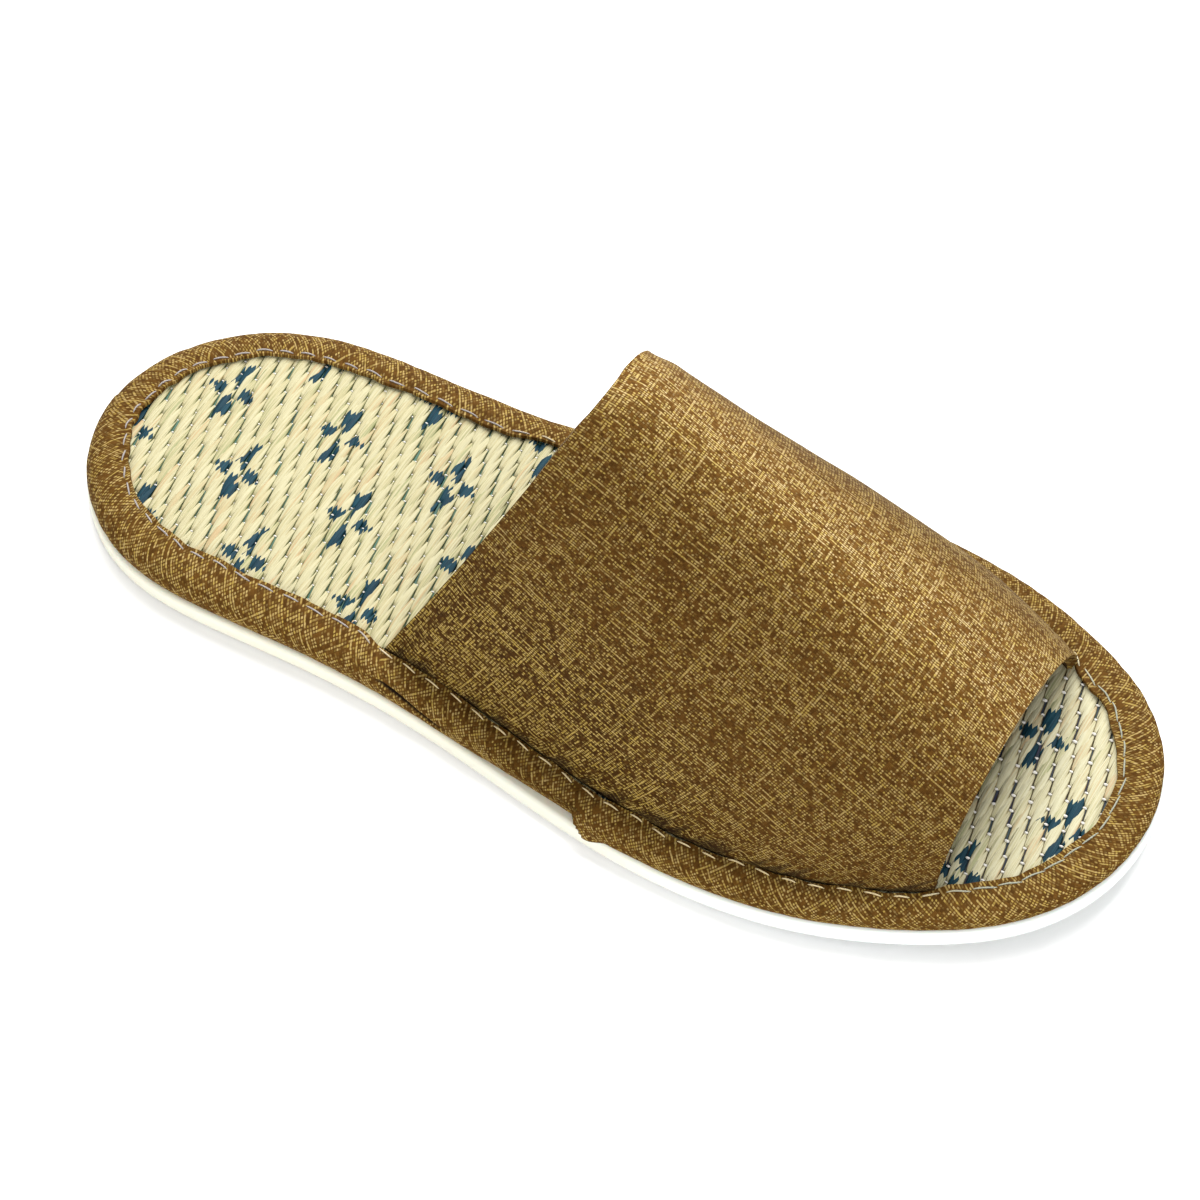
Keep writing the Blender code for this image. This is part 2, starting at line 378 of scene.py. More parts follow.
class Bench:
    """The node tree of one material."""

    def __init__(self, name: str) -> None:
        """Make an empty material with this name."""
        self.material = bpy.data.materials.new(name)
        self.material.use_nodes = True
        self.tree = self.material.node_tree
        self.tree.nodes.clear()

    def node(
        self,
        kind: str,
        settings: Mapping[str, object] | None = None,
        inputs: Mapping[str | int, object] | None = None,
    ) -> bpy.types.Node:
        """Make any node.

        Args:
            kind: The node's type.
            settings: Its properties; "stops" are the places and colours of a ramp.
            inputs: Values or links of its sockets, by name or number.

        Returns:
            The new node.
        """
        made = self.tree.nodes.new(kind)
        for key, setting in (settings or {}).items():
            if key == "stops":
                self._set_stops(made.color_ramp, setting)
            else:
                setattr(made, key, setting)
        for key, given in (inputs or {}).items():
            if isinstance(given, Value):
                self.tree.links.new(given.socket, made.inputs[key])
            else:
                made.inputs[key].default_value = given
        return made

    @staticmethod
    def _set_stops(ramp: bpy.types.ColorRamp, stops: Sequence[tuple[float, Sequence[float]]]) -> None:
        """Give a ramp its stops."""
        while len(ramp.elements) < len(stops):
            ramp.elements.new(1.0)
        for element, (place, colour) in zip(ramp.elements, stops):
            element.position = place
            element.color = (*colour, 1.0)

    def read(
        self,
        output: str | int,
        kind: str,
        settings: Mapping[str, object] | None = None,
        inputs: Mapping[str | int, object] | None = None,
    ) -> Value:
        """One output of a new node."""
        return Value(self, self.node(kind, settings, inputs).outputs[output])

    def maths(self, operation: str, *terms: "Value | float") -> Value:
        """A Math node with these terms."""
        return self.read(0, "ShaderNodeMath", {"operation": operation}, dict(enumerate(terms)))

    def split(self, vector: Value) -> tuple[Value, Value, Value]:
        """The three parts of a vector."""
        made = self.node("ShaderNodeSeparateXYZ", inputs={0: vector})
        return tuple(Value(self, made.outputs[i]) for i in range(3))

    def join(self, x: "Value | float", y: "Value | float", z: "Value | float" = 0.0) -> Value:
        """A vector of three parts."""
        return self.read(0, "ShaderNodeCombineXYZ", inputs={0: x, 1: y, 2: z})

    def place(self) -> tuple[Value, Value, Value]:
        """Place on the piece, in millimetres."""
        return tuple(part / MM for part in self.split(self.read("Object", "ShaderNodeTexCoord")))

    def pattern(self) -> tuple[Value, Value]:
        """Pattern coordinates of the piece, in millimetres."""
        return self.split(self.read("UV", "ShaderNodeUVMap", {"uv_map": PATTERN_MAP}))[:2]

    def mark(self, name: str) -> Value:
        """A named number that the piece's points carry."""
        return self.read("Fac", "ShaderNodeAttribute", {"attribute_name": name})

    def noise(self, vector: Value, scale: float = 1.0, detail: float = 2.0) -> Value:
        """Soft noise, about 0.5 on average."""
        inputs = {"Vector": vector, "Scale": scale, "Detail": detail}
        return self.read("Fac", "ShaderNodeTexNoise", {"noise_dimensions": "3D"}, inputs)

    def flicker(self, vector: Value) -> Value:
        """A random number from 0 to 1 for each vector."""
        settings = {"noise_dimensions": "3D"}
        return self.read("Value", "ShaderNodeTexWhiteNoise", settings, {"Vector": vector})

    def ramp(self, factor: Value, places: Sequence[float], colours: Sequence[Colour]) -> Value:
        """Colour along a ramp that has these colours at these places."""
        stops = tuple(zip(places, colours))
        return self.read("Color", "ShaderNodeValToRGB", {"stops": stops}, {"Fac": factor})

    def mix(self, factor: "Value | float", first: object, second: object, blend: str = "MIX") -> Value:
        """Mix of two colours, each a Value or three numbers."""
        pair = [part if isinstance(part, Value) else (*part, 1.0) for part in (first, second)]
        settings = {"data_type": "RGBA", "blend_type": blend}
        return self.read(2, "ShaderNodeMix", settings, {0: factor, 6: pair[0], 7: pair[1]})

    def bump(self, height: Value, depth: float) -> Value:
        """Normal of a surface raised by a height from 0 to 1 times a depth in millimetres."""
        return self.read("Normal", "ShaderNodeBump", inputs={"Height": height, "Distance": depth * MM})

    def dress(self, inputs: Mapping[str, object]) -> bpy.types.Material:
        """Close the tree with one Principled shader that takes these inputs."""
        shader = self.node("ShaderNodeBsdfPrincipled", inputs=inputs)
        self.node("ShaderNodeOutputMaterial", inputs={"Surface": Value(self, shader.outputs[0])})
        return self.material


class Layer:
    """Third coordinates of the cloth's noises, which keep the noises apart."""

    CHANCE = 0.5
    WARP = 2.5
    GROUND = 3.5
    GOLD = 5.5
    HEM = 6.5
    WEFT = 8.5
    SWAY_ACROSS = 11.5
    SWAY_ALONG = 17.5
    SHORT_SLUB = 30.0


@dataclass(frozen=True)
class MelangeCloth:
    """Fine plain weave of brown yarns, dotted with gold at the crossings of golden stretches of yarn."""

    name: str
    warp_pitch: float = 0.56
    weft_pitch: float = 0.75
    pairing: float = 0.10
    long_slub: float = 22.0
    short_slub: float = 1.5
    short_share: float = 0.58
    long_apart: float = 7.31
    short_apart: float = 5.17
    turn_deg: float = 0.0
    by_place: bool = False
    back_lean: float = 0.7
    side_lean: float = 0.3
    sway_pace: float = 0.75
    wobble: float = 0.30
    uneven: float = 0.30
    warp_share: float = 0.58
    golden: Span = (0.38, 0.62)
    dot: Span = (0.15, 0.80)
    warp_line: Span = (0.56, 0.71)
    weft_line: Span = (0.60, 0.76)
    line_edge: Span = (0.35, 1.0)
    dot_gilt: float = 0.9
    line_gilt: float = 0.8
    dark: Colour = (0.045, 0.0185, 0.0022)
    brown: Colour = (0.080, 0.035, 0.0050)
    gold: Colour = (0.280, 0.192, 0.040)
    pale: Colour = (0.335, 0.240, 0.090)
    # Painted sheen: lightens and greys the cloth along the ridge.
    painted_sheen: Colour = (0.475, 0.51, 0.625)
    # Near-black painted shade, for the hems and for the tape's slit.
    crease: Colour = (0.012, 0.006, 0.003)
    # Half width of the painted sheen along the ridge, 0 for none; within crest_share of it the sheen is
    # full.
    sheen_half: float = 0.0
    crest_share: float = 0.1
    ridge_aside: float = 9.0
    toward_toe: Span = (30.0, 115.0)
    wider: float = 0.38
    # Low on the face the weave is painted crisper: low_ground darkens the ground, and low_gold lightens the
    # gold with painted light.
    low_face: Span = (45.0, 80.0)
    low_ground: Colour = (0.66, 0.63, 0.45)
    low_gold: Colour = (0.23, 0.23, 0.12)
    # Painted shade along the hem where the vamp goes under the tape, in patches of changing reach.
    painted_hem_shade: float = 0.0
    hem_start: float = 0.8
    hem_strength: float = 0.75
    shade_patch: Span = (0.38, 0.62)
    shade_patch_pace: float = 0.24
    shade_least_reach: float = 0.22
    # Painted shadow in the tape's slit, read from its crease mark.
    painted_slit_shadow: bool = False
    slit_shadow_edge: Span = (0.1, 0.6)
    matt: float = 0.80
    gold_gloss: float = 0.18
    crown_relief: float = 0.7
    gold_relief: float = 0.4
    depth: float = 0.09
    specular: float = 0.06

    def threads(self, bench: Bench) -> tuple[Value, Value]:
        """Coordinates across and along the cloth, swayed a little, in millimetres.

        They are the piece's pattern map, or follow the place on the piece where that map is stretched.
        """
        if self.by_place:
            x, y, z = bench.place()
            first = x + z
            second = y - z * self.back_lean + x * self.side_lean
        else:
            first, second = bench.pattern()
        aside = bench.noise(bench.join(first, second, Layer.SWAY_ACROSS), self.sway_pace, detail=1.0) - 0.5
        ahead = bench.noise(bench.join(first, second, Layer.SWAY_ALONG), self.sway_pace, detail=1.0) - 0.5
        return first + aside * self.wobble, second + ahead * self.wobble

    def slub(self, bench: Bench, yarn: Value, place: Value, layer: float) -> Value:
        """How golden a yarn is at a place along it: long soft stretches with shorter ones in them."""
        stretch = bench.join(yarn * self.long_apart, place / self.long_slub, layer)
        long_tone = bench.noise(stretch, detail=0.0)
        stretch = bench.join(yarn * self.short_apart, place / self.short_slub, layer + Layer.SHORT_SLUB)
        short_tone = bench.noise(stretch, detail=0.0)
        return long_tone * (1.0 - self.short_share) + short_tone * self.short_share

    def material(self) -> bpy.types.Material:
        """Dot each crossing by chance and by its two yarns, draw the most golden stretches unbroken.

        Along the ridge a painted sheen lightens and greys the cloth; low on its face the weave is painted
        crisper, with darker ground and gold lightened by painted light. Painted shade darkens the hems, and
        a painted shadow the tape's slit.
        """
        bench = Bench(self.name)
        first, second = self.threads(bench)
        cosine = math.cos(math.radians(self.turn_deg))
        sine = math.sin(math.radians(self.turn_deg))
        warp_place = first * sine + second * cosine
        weft_place = first * cosine - second * sine
        across = weft_place / self.warp_pitch
        along = warp_place / self.weft_pitch
        warp = across.floor()
        weft = along.floor()
        warp_tone = self.slub(bench, warp, warp_place, Layer.WARP) + (warp % 2.0 - 0.5) * self.pairing
        weft_tone = self.slub(bench, weft, weft_place, Layer.WEFT)
        chance = bench.flicker(bench.join(warp, weft, Layer.CHANCE)) - 0.5
        crown = across.hump() * along.hump()
        both = warp_tone * self.warp_share + weft_tone * (1.0 - self.warp_share)
        dots = (both + chance * self.uneven).step(*self.golden) * crown.step(*self.dot)
        warp_line = warp_tone.step(*self.warp_line) * across.hump().step(*self.line_edge)
        weft_line = weft_tone.step(*self.weft_line) * along.hump().step(*self.line_edge)
        unbroken = bench.maths("MAXIMUM", warp_line, weft_line)
        gilt = bench.maths("MAXIMUM", dots * self.dot_gilt, unbroken * self.line_gilt)
        ground = bench.mix(bench.flicker(bench.join(warp, weft, Layer.GROUND)), self.dark, self.brown)
        yarn = bench.mix(bench.flicker(bench.join(warp, weft, Layer.GOLD)), self.gold, self.pale)
        # Painted sheen along the ridge, wider toward the toe.
        if self.sheen_half > 0.0:
            widening = 1.0 + second.step(*self.toward_toe) * self.wider
            aside = bench.maths("ABSOLUTE", first - self.ridge_aside) / widening
            low_face = aside.step(*self.low_face)
            ridge = 1.0 - aside.step(self.crest_share * self.sheen_half, self.sheen_half)
            # Painted crisper weave low on the face: darker ground, and gold lightened with painted light.
            ground = bench.mix(low_face, ground, self.low_ground, "MULTIPLY")
            yarn = bench.mix(low_face, yarn, self.low_gold, "DODGE")
            colour = bench.mix(ridge, bench.mix(gilt, ground, yarn), self.painted_sheen, "DODGE")
        else:
            colour = bench.mix(gilt, ground, yarn)
        # Painted shade in the crease along the hem.
        if self.painted_hem_shade > 0.0:
            patches = bench.noise(bench.join(second * self.shade_patch_pace, 0.0, Layer.HEM), detail=1.0)
            reach = patches.step(*self.shade_patch) + self.shade_least_reach
            hem = 1.0 - (bench.mark("from_hem") / reach).step(self.hem_start, self.painted_hem_shade)
            colour = bench.mix(hem * self.hem_strength, colour, self.crease)
        # Painted shadow in the slit where the tape's layers part.
        if self.painted_slit_shadow:
            colour = bench.mix(bench.mark("crease").step(*self.slit_shadow_edge), colour, self.crease)
        relief = crown * self.crown_relief + gilt * self.gold_relief
        return bench.dress(
            {
                "Base Color": colour,
                "Roughness": self.matt - gilt * self.gold_gloss,
                "Normal": bench.bump(relief, self.depth),
                "Specular IOR Level": self.specular,
            }
        )


@dataclass(frozen=True)
class RushStraw:
    """Dried rush with dyed stretches; each float knows the middle of its dye and how far it reaches."""

    name: str = "rush_straw"
    pale: Colour = (0.52, 0.495, 0.335)
    straw: Colour = (0.45, 0.405, 0.240)
    green: Colour = (0.29, 0.31, 0.16)
    rosy: Colour = (0.47, 0.33, 0.19)
    heel_tint: Colour = (0.93, 0.91, 0.84)
    navy: Colour = (0.002, 0.020, 0.034)
    navy_light: Colour = (0.009, 0.056, 0.078)
    # Darkening at the floats' edges: the stems' brownish outlines, with painted shade where the floats
    # meet.
    toe_outline_and_shade: Colour = (0.46, 0.38, 0.28)
    heel_outline_and_shade: Colour = (0.48, 0.58, 0.42)
    streak_along: float = 0.06
    streak_across: float = 3.2
    streak_apart: float = 40.0
    tone_share: float = 0.55
    streak_share: float = 1.5
    ramp_shift: float = 0.52
    tint_ramp: tuple[float, ...] = (0.05, 0.26, 0.52, 0.76, 0.98)
    dye_tooth: float = 1.5
    dye_uneven: float = 1.0
    ragged_along: float = 0.02
    ragged_across: float = 1.9
    ragged_layer: float = 4.5
    dye_ramp: Span = (0.35, 0.75)
    toward_heel: Span = (-90.0, 0.0)
    outline_and_shade: Span = (0.72, 1.0)
    matt: float = 0.45
    matt_vary: float = 0.25
    depth: float = 0.25
    specular: float = 0.15

    def material(self) -> bpy.types.Material:
        """Streak each stem along its length and switch to navy between the dye's two ragged ends.

        Over a float's back, from edge to edge, the dye reaches furthest on the two stems of the float and
        least at its middle and its edges, which makes two teeth.
        """
        bench = Bench(self.name)
        x, y, _ = bench.place()
        tone = bench.mark("tone")
        stem = bench.join(x * self.streak_along, y * self.streak_across, tone * self.streak_apart)
        streak = bench.noise(stem, detail=3.0)
        tint = tone * self.tone_share + streak * self.streak_share - self.ramp_shift
        tints = (self.green, self.straw, self.pale, self.straw, self.rosy)
        colour = bench.ramp(tint, self.tint_ramp, tints)
        edge = bench.maths("ABSOLUTE", bench.mark("over"))
        tooth = 1.0 - bench.maths("ABSOLUTE", edge - 0.5) * 2.0
        ragged = bench.join(x * self.ragged_along, y * self.ragged_across, self.ragged_layer)
        uneven = (bench.noise(ragged, detail=1.0) - 0.5) * self.dye_uneven
        reach = (tooth - 0.5) * self.dye_tooth + uneven
        apart = bench.maths("ABSOLUTE", x - bench.mark("dye_middle"))
        dyed = ((apart + reach) > bench.mark("dye_from")) * ((apart - reach) < bench.mark("dye_to"))
        dye = bench.ramp(streak, self.dye_ramp, (self.navy, self.navy_light))
        heel = y.step(*self.toward_heel)
        colour = bench.mix(heel, colour, self.heel_tint, "MULTIPLY")
        colour = bench.mix(dyed, colour, dye)
        # The floats' edges are darkened: their outlines, and painted shade where the floats meet.
        outline_and_shade = bench.mix(heel, self.toe_outline_and_shade, self.heel_outline_and_shade)
        colour = bench.mix(edge.step(*self.outline_and_shade), colour, outline_and_shade, "MULTIPLY")
        return bench.dress(
            {
                "Base Color": colour,
                "Roughness": self.matt + streak * self.matt_vary,
                "Normal": bench.bump(streak, self.depth),
                "Specular IOR Level": self.specular,
            }
        )


@dataclass(frozen=True)
class DarkGround:
    """Shaded underside stems that show between the floats."""

    name: str = "dark_ground"
    deep: Colour = (0.018, 0.018, 0.040)
    mossy: Colour = (0.060, 0.140, 0.095)
    stem_along: float = 0.05
    stem_across: float = 0.9
    stem_share: float = 1.5
    toward_heel: Span = (-60.0, 40.0)
    toe_moss: float = 0.1
    heel_more: float = 0.8
    matt: float = 0.8
    depth: float = 0.3

    def material(self) -> bpy.types.Material:
        """Mix navy and mossy stems that run across the mat, mossier toward the heel."""
        bench = Bench(self.name)
        x, y, _ = bench.place()
        stems = bench.noise(bench.join(x * self.stem_along, y * self.stem_across))
        heel = y.step(*self.toward_heel)
        moss = (stems - 0.5) * self.stem_share + heel * self.heel_more + self.toe_moss
        colour = bench.mix(moss, self.deep, self.mossy)
        normal = bench.bump(stems, self.depth)
        return bench.dress({"Base Color": colour, "Roughness": self.matt, "Normal": normal})


class SpunThread:
    """What every thread here shares: the twist of its strands, its gloss and its relief."""

    STRANDS_PER_MM = 2.2
    ROUGHNESS = 0.6
    RELIEF = 0.08

    def strands(self, place: Sequence[Value]) -> Value:
        """Slanted strands of the twist."""
        x, y, z = place
        return ((x + y + z) * self.STRANDS_PER_MM).hump()

    def spin(self, bench: Bench, colour: Value, strands: Value) -> bpy.types.Material:
        """Dress the thread in a colour, with its strands raised."""
        normal = bench.bump(strands, self.RELIEF)
        return bench.dress({"Base Color": colour, "Roughness": self.ROUGHNESS, "Normal": normal})


@dataclass(frozen=True)
class WarpCord(SpunThread):
    """White cord that ties the floats down."""

    name: str = "warp_cord"
    light: Colour = (0.84, 0.82, 0.77)
    shade: Colour = (0.58, 0.55, 0.48)
    strand_share: float = 0.6
    tuft_pace: float = 1.4

    def material(self) -> bpy.types.Material:
        """Fine slanted strands in two tones."""
        bench = Bench(self.name)
        place = bench.place()
        strands = self.strands(place)
        tuft = bench.noise(bench.join(*place), self.tuft_pace)
        tone = strands * self.strand_share + tuft * (1.0 - self.strand_share)
        return self.spin(bench, bench.mix(tone, self.shade, self.light), strands)


@dataclass(frozen=True)
class SewingThread(SpunThread):
    """Pale twisted thread: greenish at the toe, straw along the sides where painted light lightens it,
    greyer at the heel.
    """

    name: str = "sewing_thread"
    toe: Colour = (0.38, 0.39, 0.30)
    # Straw tone, made lighter with painted light along the sides.
    side: Colour = (0.78, 0.64, 0.36)
    heel: Colour = (0.40, 0.36, 0.34)
    # Painted shade in the hollows between the twist's strands.
    hollow_shade: Colour = (0.55, 0.52, 0.50)
    toe_to_side: Span = (-108.0, -92.0)
    side_to_heel: Span = (28.0, 46.0)

    def material(self) -> bpy.types.Material:
        """Blend the tones along the slipper and mark the twist with darker slanted strands: painted shade
        in its hollows.
        """
        bench = Bench(self.name)
        place = bench.place()
        colour = bench.mix(place[1].step(*self.toe_to_side), self.toe, self.side)
        colour = bench.mix(place[1].step(*self.side_to_heel), colour, self.heel)
        strands = self.strands(place)
        colour = bench.mix(1.0 - strands, colour, self.hollow_shade, "MULTIPLY")
        return self.spin(bench, colour, strands)


@dataclass(frozen=True)
class IvoryFoam:
    """Smooth closed-cell foam, ivory, faintly clouded and finely pebbled."""

    name: str = "ivory_foam"
    warm: Colour = (0.70, 0.69, 0.57)
    clear: Colour = (0.74, 0.785, 0.755)
    rubbed: Colour = (0.64, 0.61, 0.51)
    # Lilac grey of the painted contact shadow along the sole's lower edge.
    painted_contact_shadow: Colour = (0.74, 0.71, 0.76)
    clouding: float = 0.6
    cloud_pace: float = 0.05
    cloud_flat: float = 3.0
    toe_to_heel: Span = (-95.0, 10.0)
    scuffed: Span = (0.50, 0.72)
    tread: Span = (0.2, 0.9)
    wear: float = 0.5
    scuff_pace: float = 0.22
    scuff_long: float = 0.4
    pebble_pace: float = 1.8
    matt: float = 0.48
    matt_vary: float = 0.15
    depth: float = 0.05
    glow: float = 0.12
    glow_reach_m: float = 0.003

    def material(self) -> bpy.types.Material:
        """Cloud the colour, rub the tread, grey the lower edge with a painted contact shadow and pebble the
        surface.
        """
        bench = Bench(self.name)
        x, y, z = bench.place()
        cloud = bench.noise(bench.join(x, y, z * self.cloud_flat), self.cloud_pace, detail=3.0)
        tone = (cloud - 0.5) * self.clouding + 1.0 - y.step(*self.toe_to_heel)
        colour = bench.mix(tone, self.warm, self.clear)
        scuff = bench.noise(bench.join(x * self.scuff_long, y, z), self.scuff_pace, detail=4.0)
        worn = scuff.step(*self.scuffed) * (1.0 - z.step(*self.tread)) * self.wear
        colour = bench.mix(worn, colour, self.rubbed)
        # Painted contact shadow along the lower edge.
        colour = bench.mix(bench.mark("painted_contact_shadow"), colour, self.painted_contact_shadow, "MULTIPLY")
        pebble = bench.noise(bench.join(x, y, z), self.pebble_pace)
        return bench.dress(
            {
                "Base Color": colour,
                "Roughness": self.matt + cloud * self.matt_vary,
                "Normal": bench.bump(pebble, self.depth),
                "Subsurface Weight": self.glow,
                "Subsurface Scale": self.glow_reach_m,
            }
        )


@dataclass(frozen=True)
class Plan:
    """Plan outline and levels of the slipper; every piece is placed by it.

    The half width on a cross line is its fullness times the height of a half circle at that share.
    """

    length: float = 262.0
    outline: tuple[CrossLine, ...] = (
        CrossLine(share=0.0, fullness=68.3),
        CrossLine(share=0.1, fullness=61.9),
        CrossLine(share=0.2, fullness=52.1),
        CrossLine(share=0.3, fullness=45.7),
        CrossLine(share=0.4, fullness=44.9),
        CrossLine(share=0.5, fullness=48.6),
        CrossLine(share=0.6, fullness=54.5),
        CrossLine(share=0.7, fullness=60.0),
        CrossLine(share=0.8, fullness=64.2),
        CrossLine(share=0.9, fullness=68.0),
        CrossLine(share=1.0, fullness=76.5),
    )
    sole_thick: float = 4.7
    spring_start: float = 0.62
    toe_spring: float = 3.9
    heel_lift: float = 7.4
    ball_lift: float = 3.8
    fall_start: float = 0.18
    fall_end: float = 0.60
    lip_inset: float = 9.9
    lip_inset_at_vamp: float = 7.9
    lip_blend: float = 9.0
    mat_drop: float = 1.3
    mat_dome: float = 1.0
    throat_y: float = 35.9
    toe_edge_y: float = -98.9
    gap: float = 0.3
    dense: int = 1440

    def fullness(self, where: np.ndarray) -> np.ndarray:
        """Natural cubic curve through the cross lines, read at any share of the length."""
        knots = np.array([line.share for line in self.outline])
        values = np.array([line.fullness for line in self.outline])
        steps = np.diff(knots)
        slopes = np.diff(values) / steps
        count = len(knots)
        matrix = np.eye(count)
        inner = np.arange(1, count - 1)
        matrix[inner, inner - 1] = steps[:-1]
        matrix[inner, inner] = 2.0 * (steps[:-1] + steps[1:])
        matrix[inner, inner + 1] = steps[1:]
        target = np.zeros(count)
        target[inner] = 3.0 * np.diff(slopes)
        bend = np.linalg.solve(matrix, target)
        cell = np.clip(np.searchsorted(knots, where) - 1, 0, count - 2)
        along = where - knots[cell]
        slope = slopes[cell] - steps[cell] * (2.0 * bend[cell] + bend[cell + 1]) / 3.0
        cube = (bend[cell + 1] - bend[cell]) / (3.0 * steps[cell])
        return values[cell] + along * (slope + along * (bend[cell] + along * cube))

    def dense_ring(self) -> tuple[np.ndarray, np.ndarray]:
        """Outline points and outward normals, from the heel along the near side to the toe and back."""
        turn = np.linspace(0.0, 2.0 * math.pi, self.dense, endpoint=False)
        share = 0.5 - 0.5 * np.cos(turn)
        half = np.sin(turn) * self.fullness(share)
        points = np.stack([-half, self.length * (0.5 - share)], axis=1)
        ahead = unit(np.roll(points, -1, axis=0) - np.roll(points, 1, axis=0))
        normals = np.stack([ahead[:, 1], -ahead[:, 0]], axis=1)
        return points, normals

    def girth(self) -> float:
        """Length of the outline."""
        points, _ = self.dense_ring()
        return float(steps_along(np.vstack([points, points[:1]]), 0).sum())

    def ring_at(self, arc: np.ndarray) -> tuple[np.ndarray, np.ndarray]:
        """Outline points and outward normals at distances along the outline from the heel."""
        points, normals = self.dense_ring()
        closed = np.vstack([points, points[:1]])
        closed_normals = np.vstack([normals, normals[:1]])
        travelled = distance_along(closed, 0)
        where = np.mod(arc, travelled[-1])
        read = [np.interp(where, travelled, column) for column in (*closed.T, *closed_normals.T)]
        return np.stack(read[:2], axis=-1), np.stack(read[2:], axis=-1)

    def arc_on_near_side(self, y: float) -> float:
        """Distance along the outline from the heel to a lengthwise place on the near side."""
        arcs = np.linspace(0.0, 0.5 * self.girth(), self.dense)
        points, _ = self.ring_at(arcs)
        return float(np.interp(-y, -points[:, 1], arcs))

    def half_width(self, y: np.ndarray, inset: float) -> np.ndarray:
        """Half width of the outline moved inward by an inset, 0 past its ends."""
        points, normals = self.dense_ring()
        side = (points - normals * inset)[: self.dense // 2 + 1]
        return np.interp(-y, -side[:, 1], np.abs(side[:, 0]), left=0.0, right=0.0)

    def share_at(self, y: np.ndarray) -> np.ndarray:
        """Share of the length from the heel at a lengthwise place."""
        return 0.5 - np.asarray(y) / self.length

    def underside(self, y: np.ndarray) -> np.ndarray:
        """Height of the sole's underside: flat, then sprung at the toe as a square."""
        past = np.clip((self.share_at(y) - self.spring_start) / (1.0 - self.spring_start), 0.0, None)
        return self.toe_spring * past * past

    def sole_top(self, y: np.ndarray) -> np.ndarray:
        """Height of the sole's upper face."""
        return self.underside(y) + self.sole_thick

    def tape_lift(self, y: np.ndarray) -> np.ndarray:
        """Height of the tape's inner edge over the sole, falling from the heel to the ball."""
        fall = smooth_step(self.share_at(y), self.fall_start, self.fall_end)
        return self.heel_lift + (self.ball_lift - self.heel_lift) * fall

    def mat_level(self, y: np.ndarray) -> np.ndarray:
        """Height of the rush face at the edge of the footbed."""
        return self.sole_top(y) + self.tape_lift(y) - self.mat_drop

    def lip(self, y: np.ndarray) -> np.ndarray:
        """Inset of the tape's inner edge, less where the vamp is held under it."""
        held = smooth_step(y, self.throat_y + self.lip_blend, self.throat_y)
        held = held * smooth_step(y, self.toe_edge_y - self.lip_blend, self.toe_edge_y)
        return self.lip_inset + (self.lip_inset_at_vamp - self.lip_inset) * held

    def rush_face(self, x: np.ndarray, y: np.ndarray) -> np.ndarray:
        """Height of the rush face: its edge level and a gentle dome across and along."""
        half = np.maximum(self.half_width(y, self.lip_inset), 1.0)
        reach = 0.5 * self.length - self.lip_inset
        across = np.clip(1.0 - (x / half) ** 2, 0.0, 1.0)
        along = np.clip(1.0 - (y / reach) ** 2, 0.0, 1.0)
        return self.mat_level(y) + self.mat_dome * across * along


@dataclass(frozen=True)
class FoamSole:
    """Foam sheet under the slipper, with a rounded edge."""

    plan: Plan
    proud: float = 0.3
    edge_round: float = 1.3
    around: int = 360
    round_steps: int = 6
    flat_scales: tuple[float, ...] = (0.0, 0.3, 0.6, 0.85)
    # Height and half height of the band of painted contact shadow on the rounded edge.
    shadow_line_height: float = 0.55
    shadow_line_half: float = 0.45

    def build(self) -> bpy.types.Object:
        """Loft rings from the underside's long axis, round both edges, to the upper face's long axis.

        Each edge is a quarter circle; on the flat faces the rings are drawn toward the long axis.
        """
        plan = self.plan
        points, normals = plan.ring_at(np.arange(self.around) * plan.girth() / self.around)
        turn = np.linspace(0.0, 0.5 * math.pi, self.round_steps)
        insets = self.edge_round * (1.0 - np.sin(turn)) - self.proud
        heights = self.edge_round * (1.0 - np.cos(turn))
        insets = np.concatenate([insets, insets[::-1]])
        heights = np.concatenate([heights, plan.sole_thick - heights[::-1]])
        side = points[None] - normals[None] * insets[:, None, None]
        side_z = plan.underside(side[..., 1]) + heights[:, None]
        scale = np.array(self.flat_scales)[:, None, None]
        pull = np.concatenate([scale, np.ones_like(scale)], axis=2)
        low = side[:1] * pull
        high = (side[-1:] * pull)[::-1]
        rings = np.concatenate([low, side, high])
        low_z = np.broadcast_to(side_z[:1], low.shape[:2])
        high_z = np.broadcast_to(side_z[-1:], high.shape[:2])
        levels = np.concatenate([low_z, side_z, high_z])
        flat = np.zeros(len(self.flat_scales))
        # Band of painted contact shadow low on the rounded edge.
        shadow_line = bell(heights - self.shadow_line_height, self.shadow_line_half)
        shadow_line = np.concatenate([flat, shadow_line, flat])
        piece = loft("foam_sole", rings, levels, {"painted_contact_shadow": np.repeat(shadow_line, self.around)})
        settle(piece, Slot.FOAM, IvoryFoam().material())
        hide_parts("outsole")
        return piece


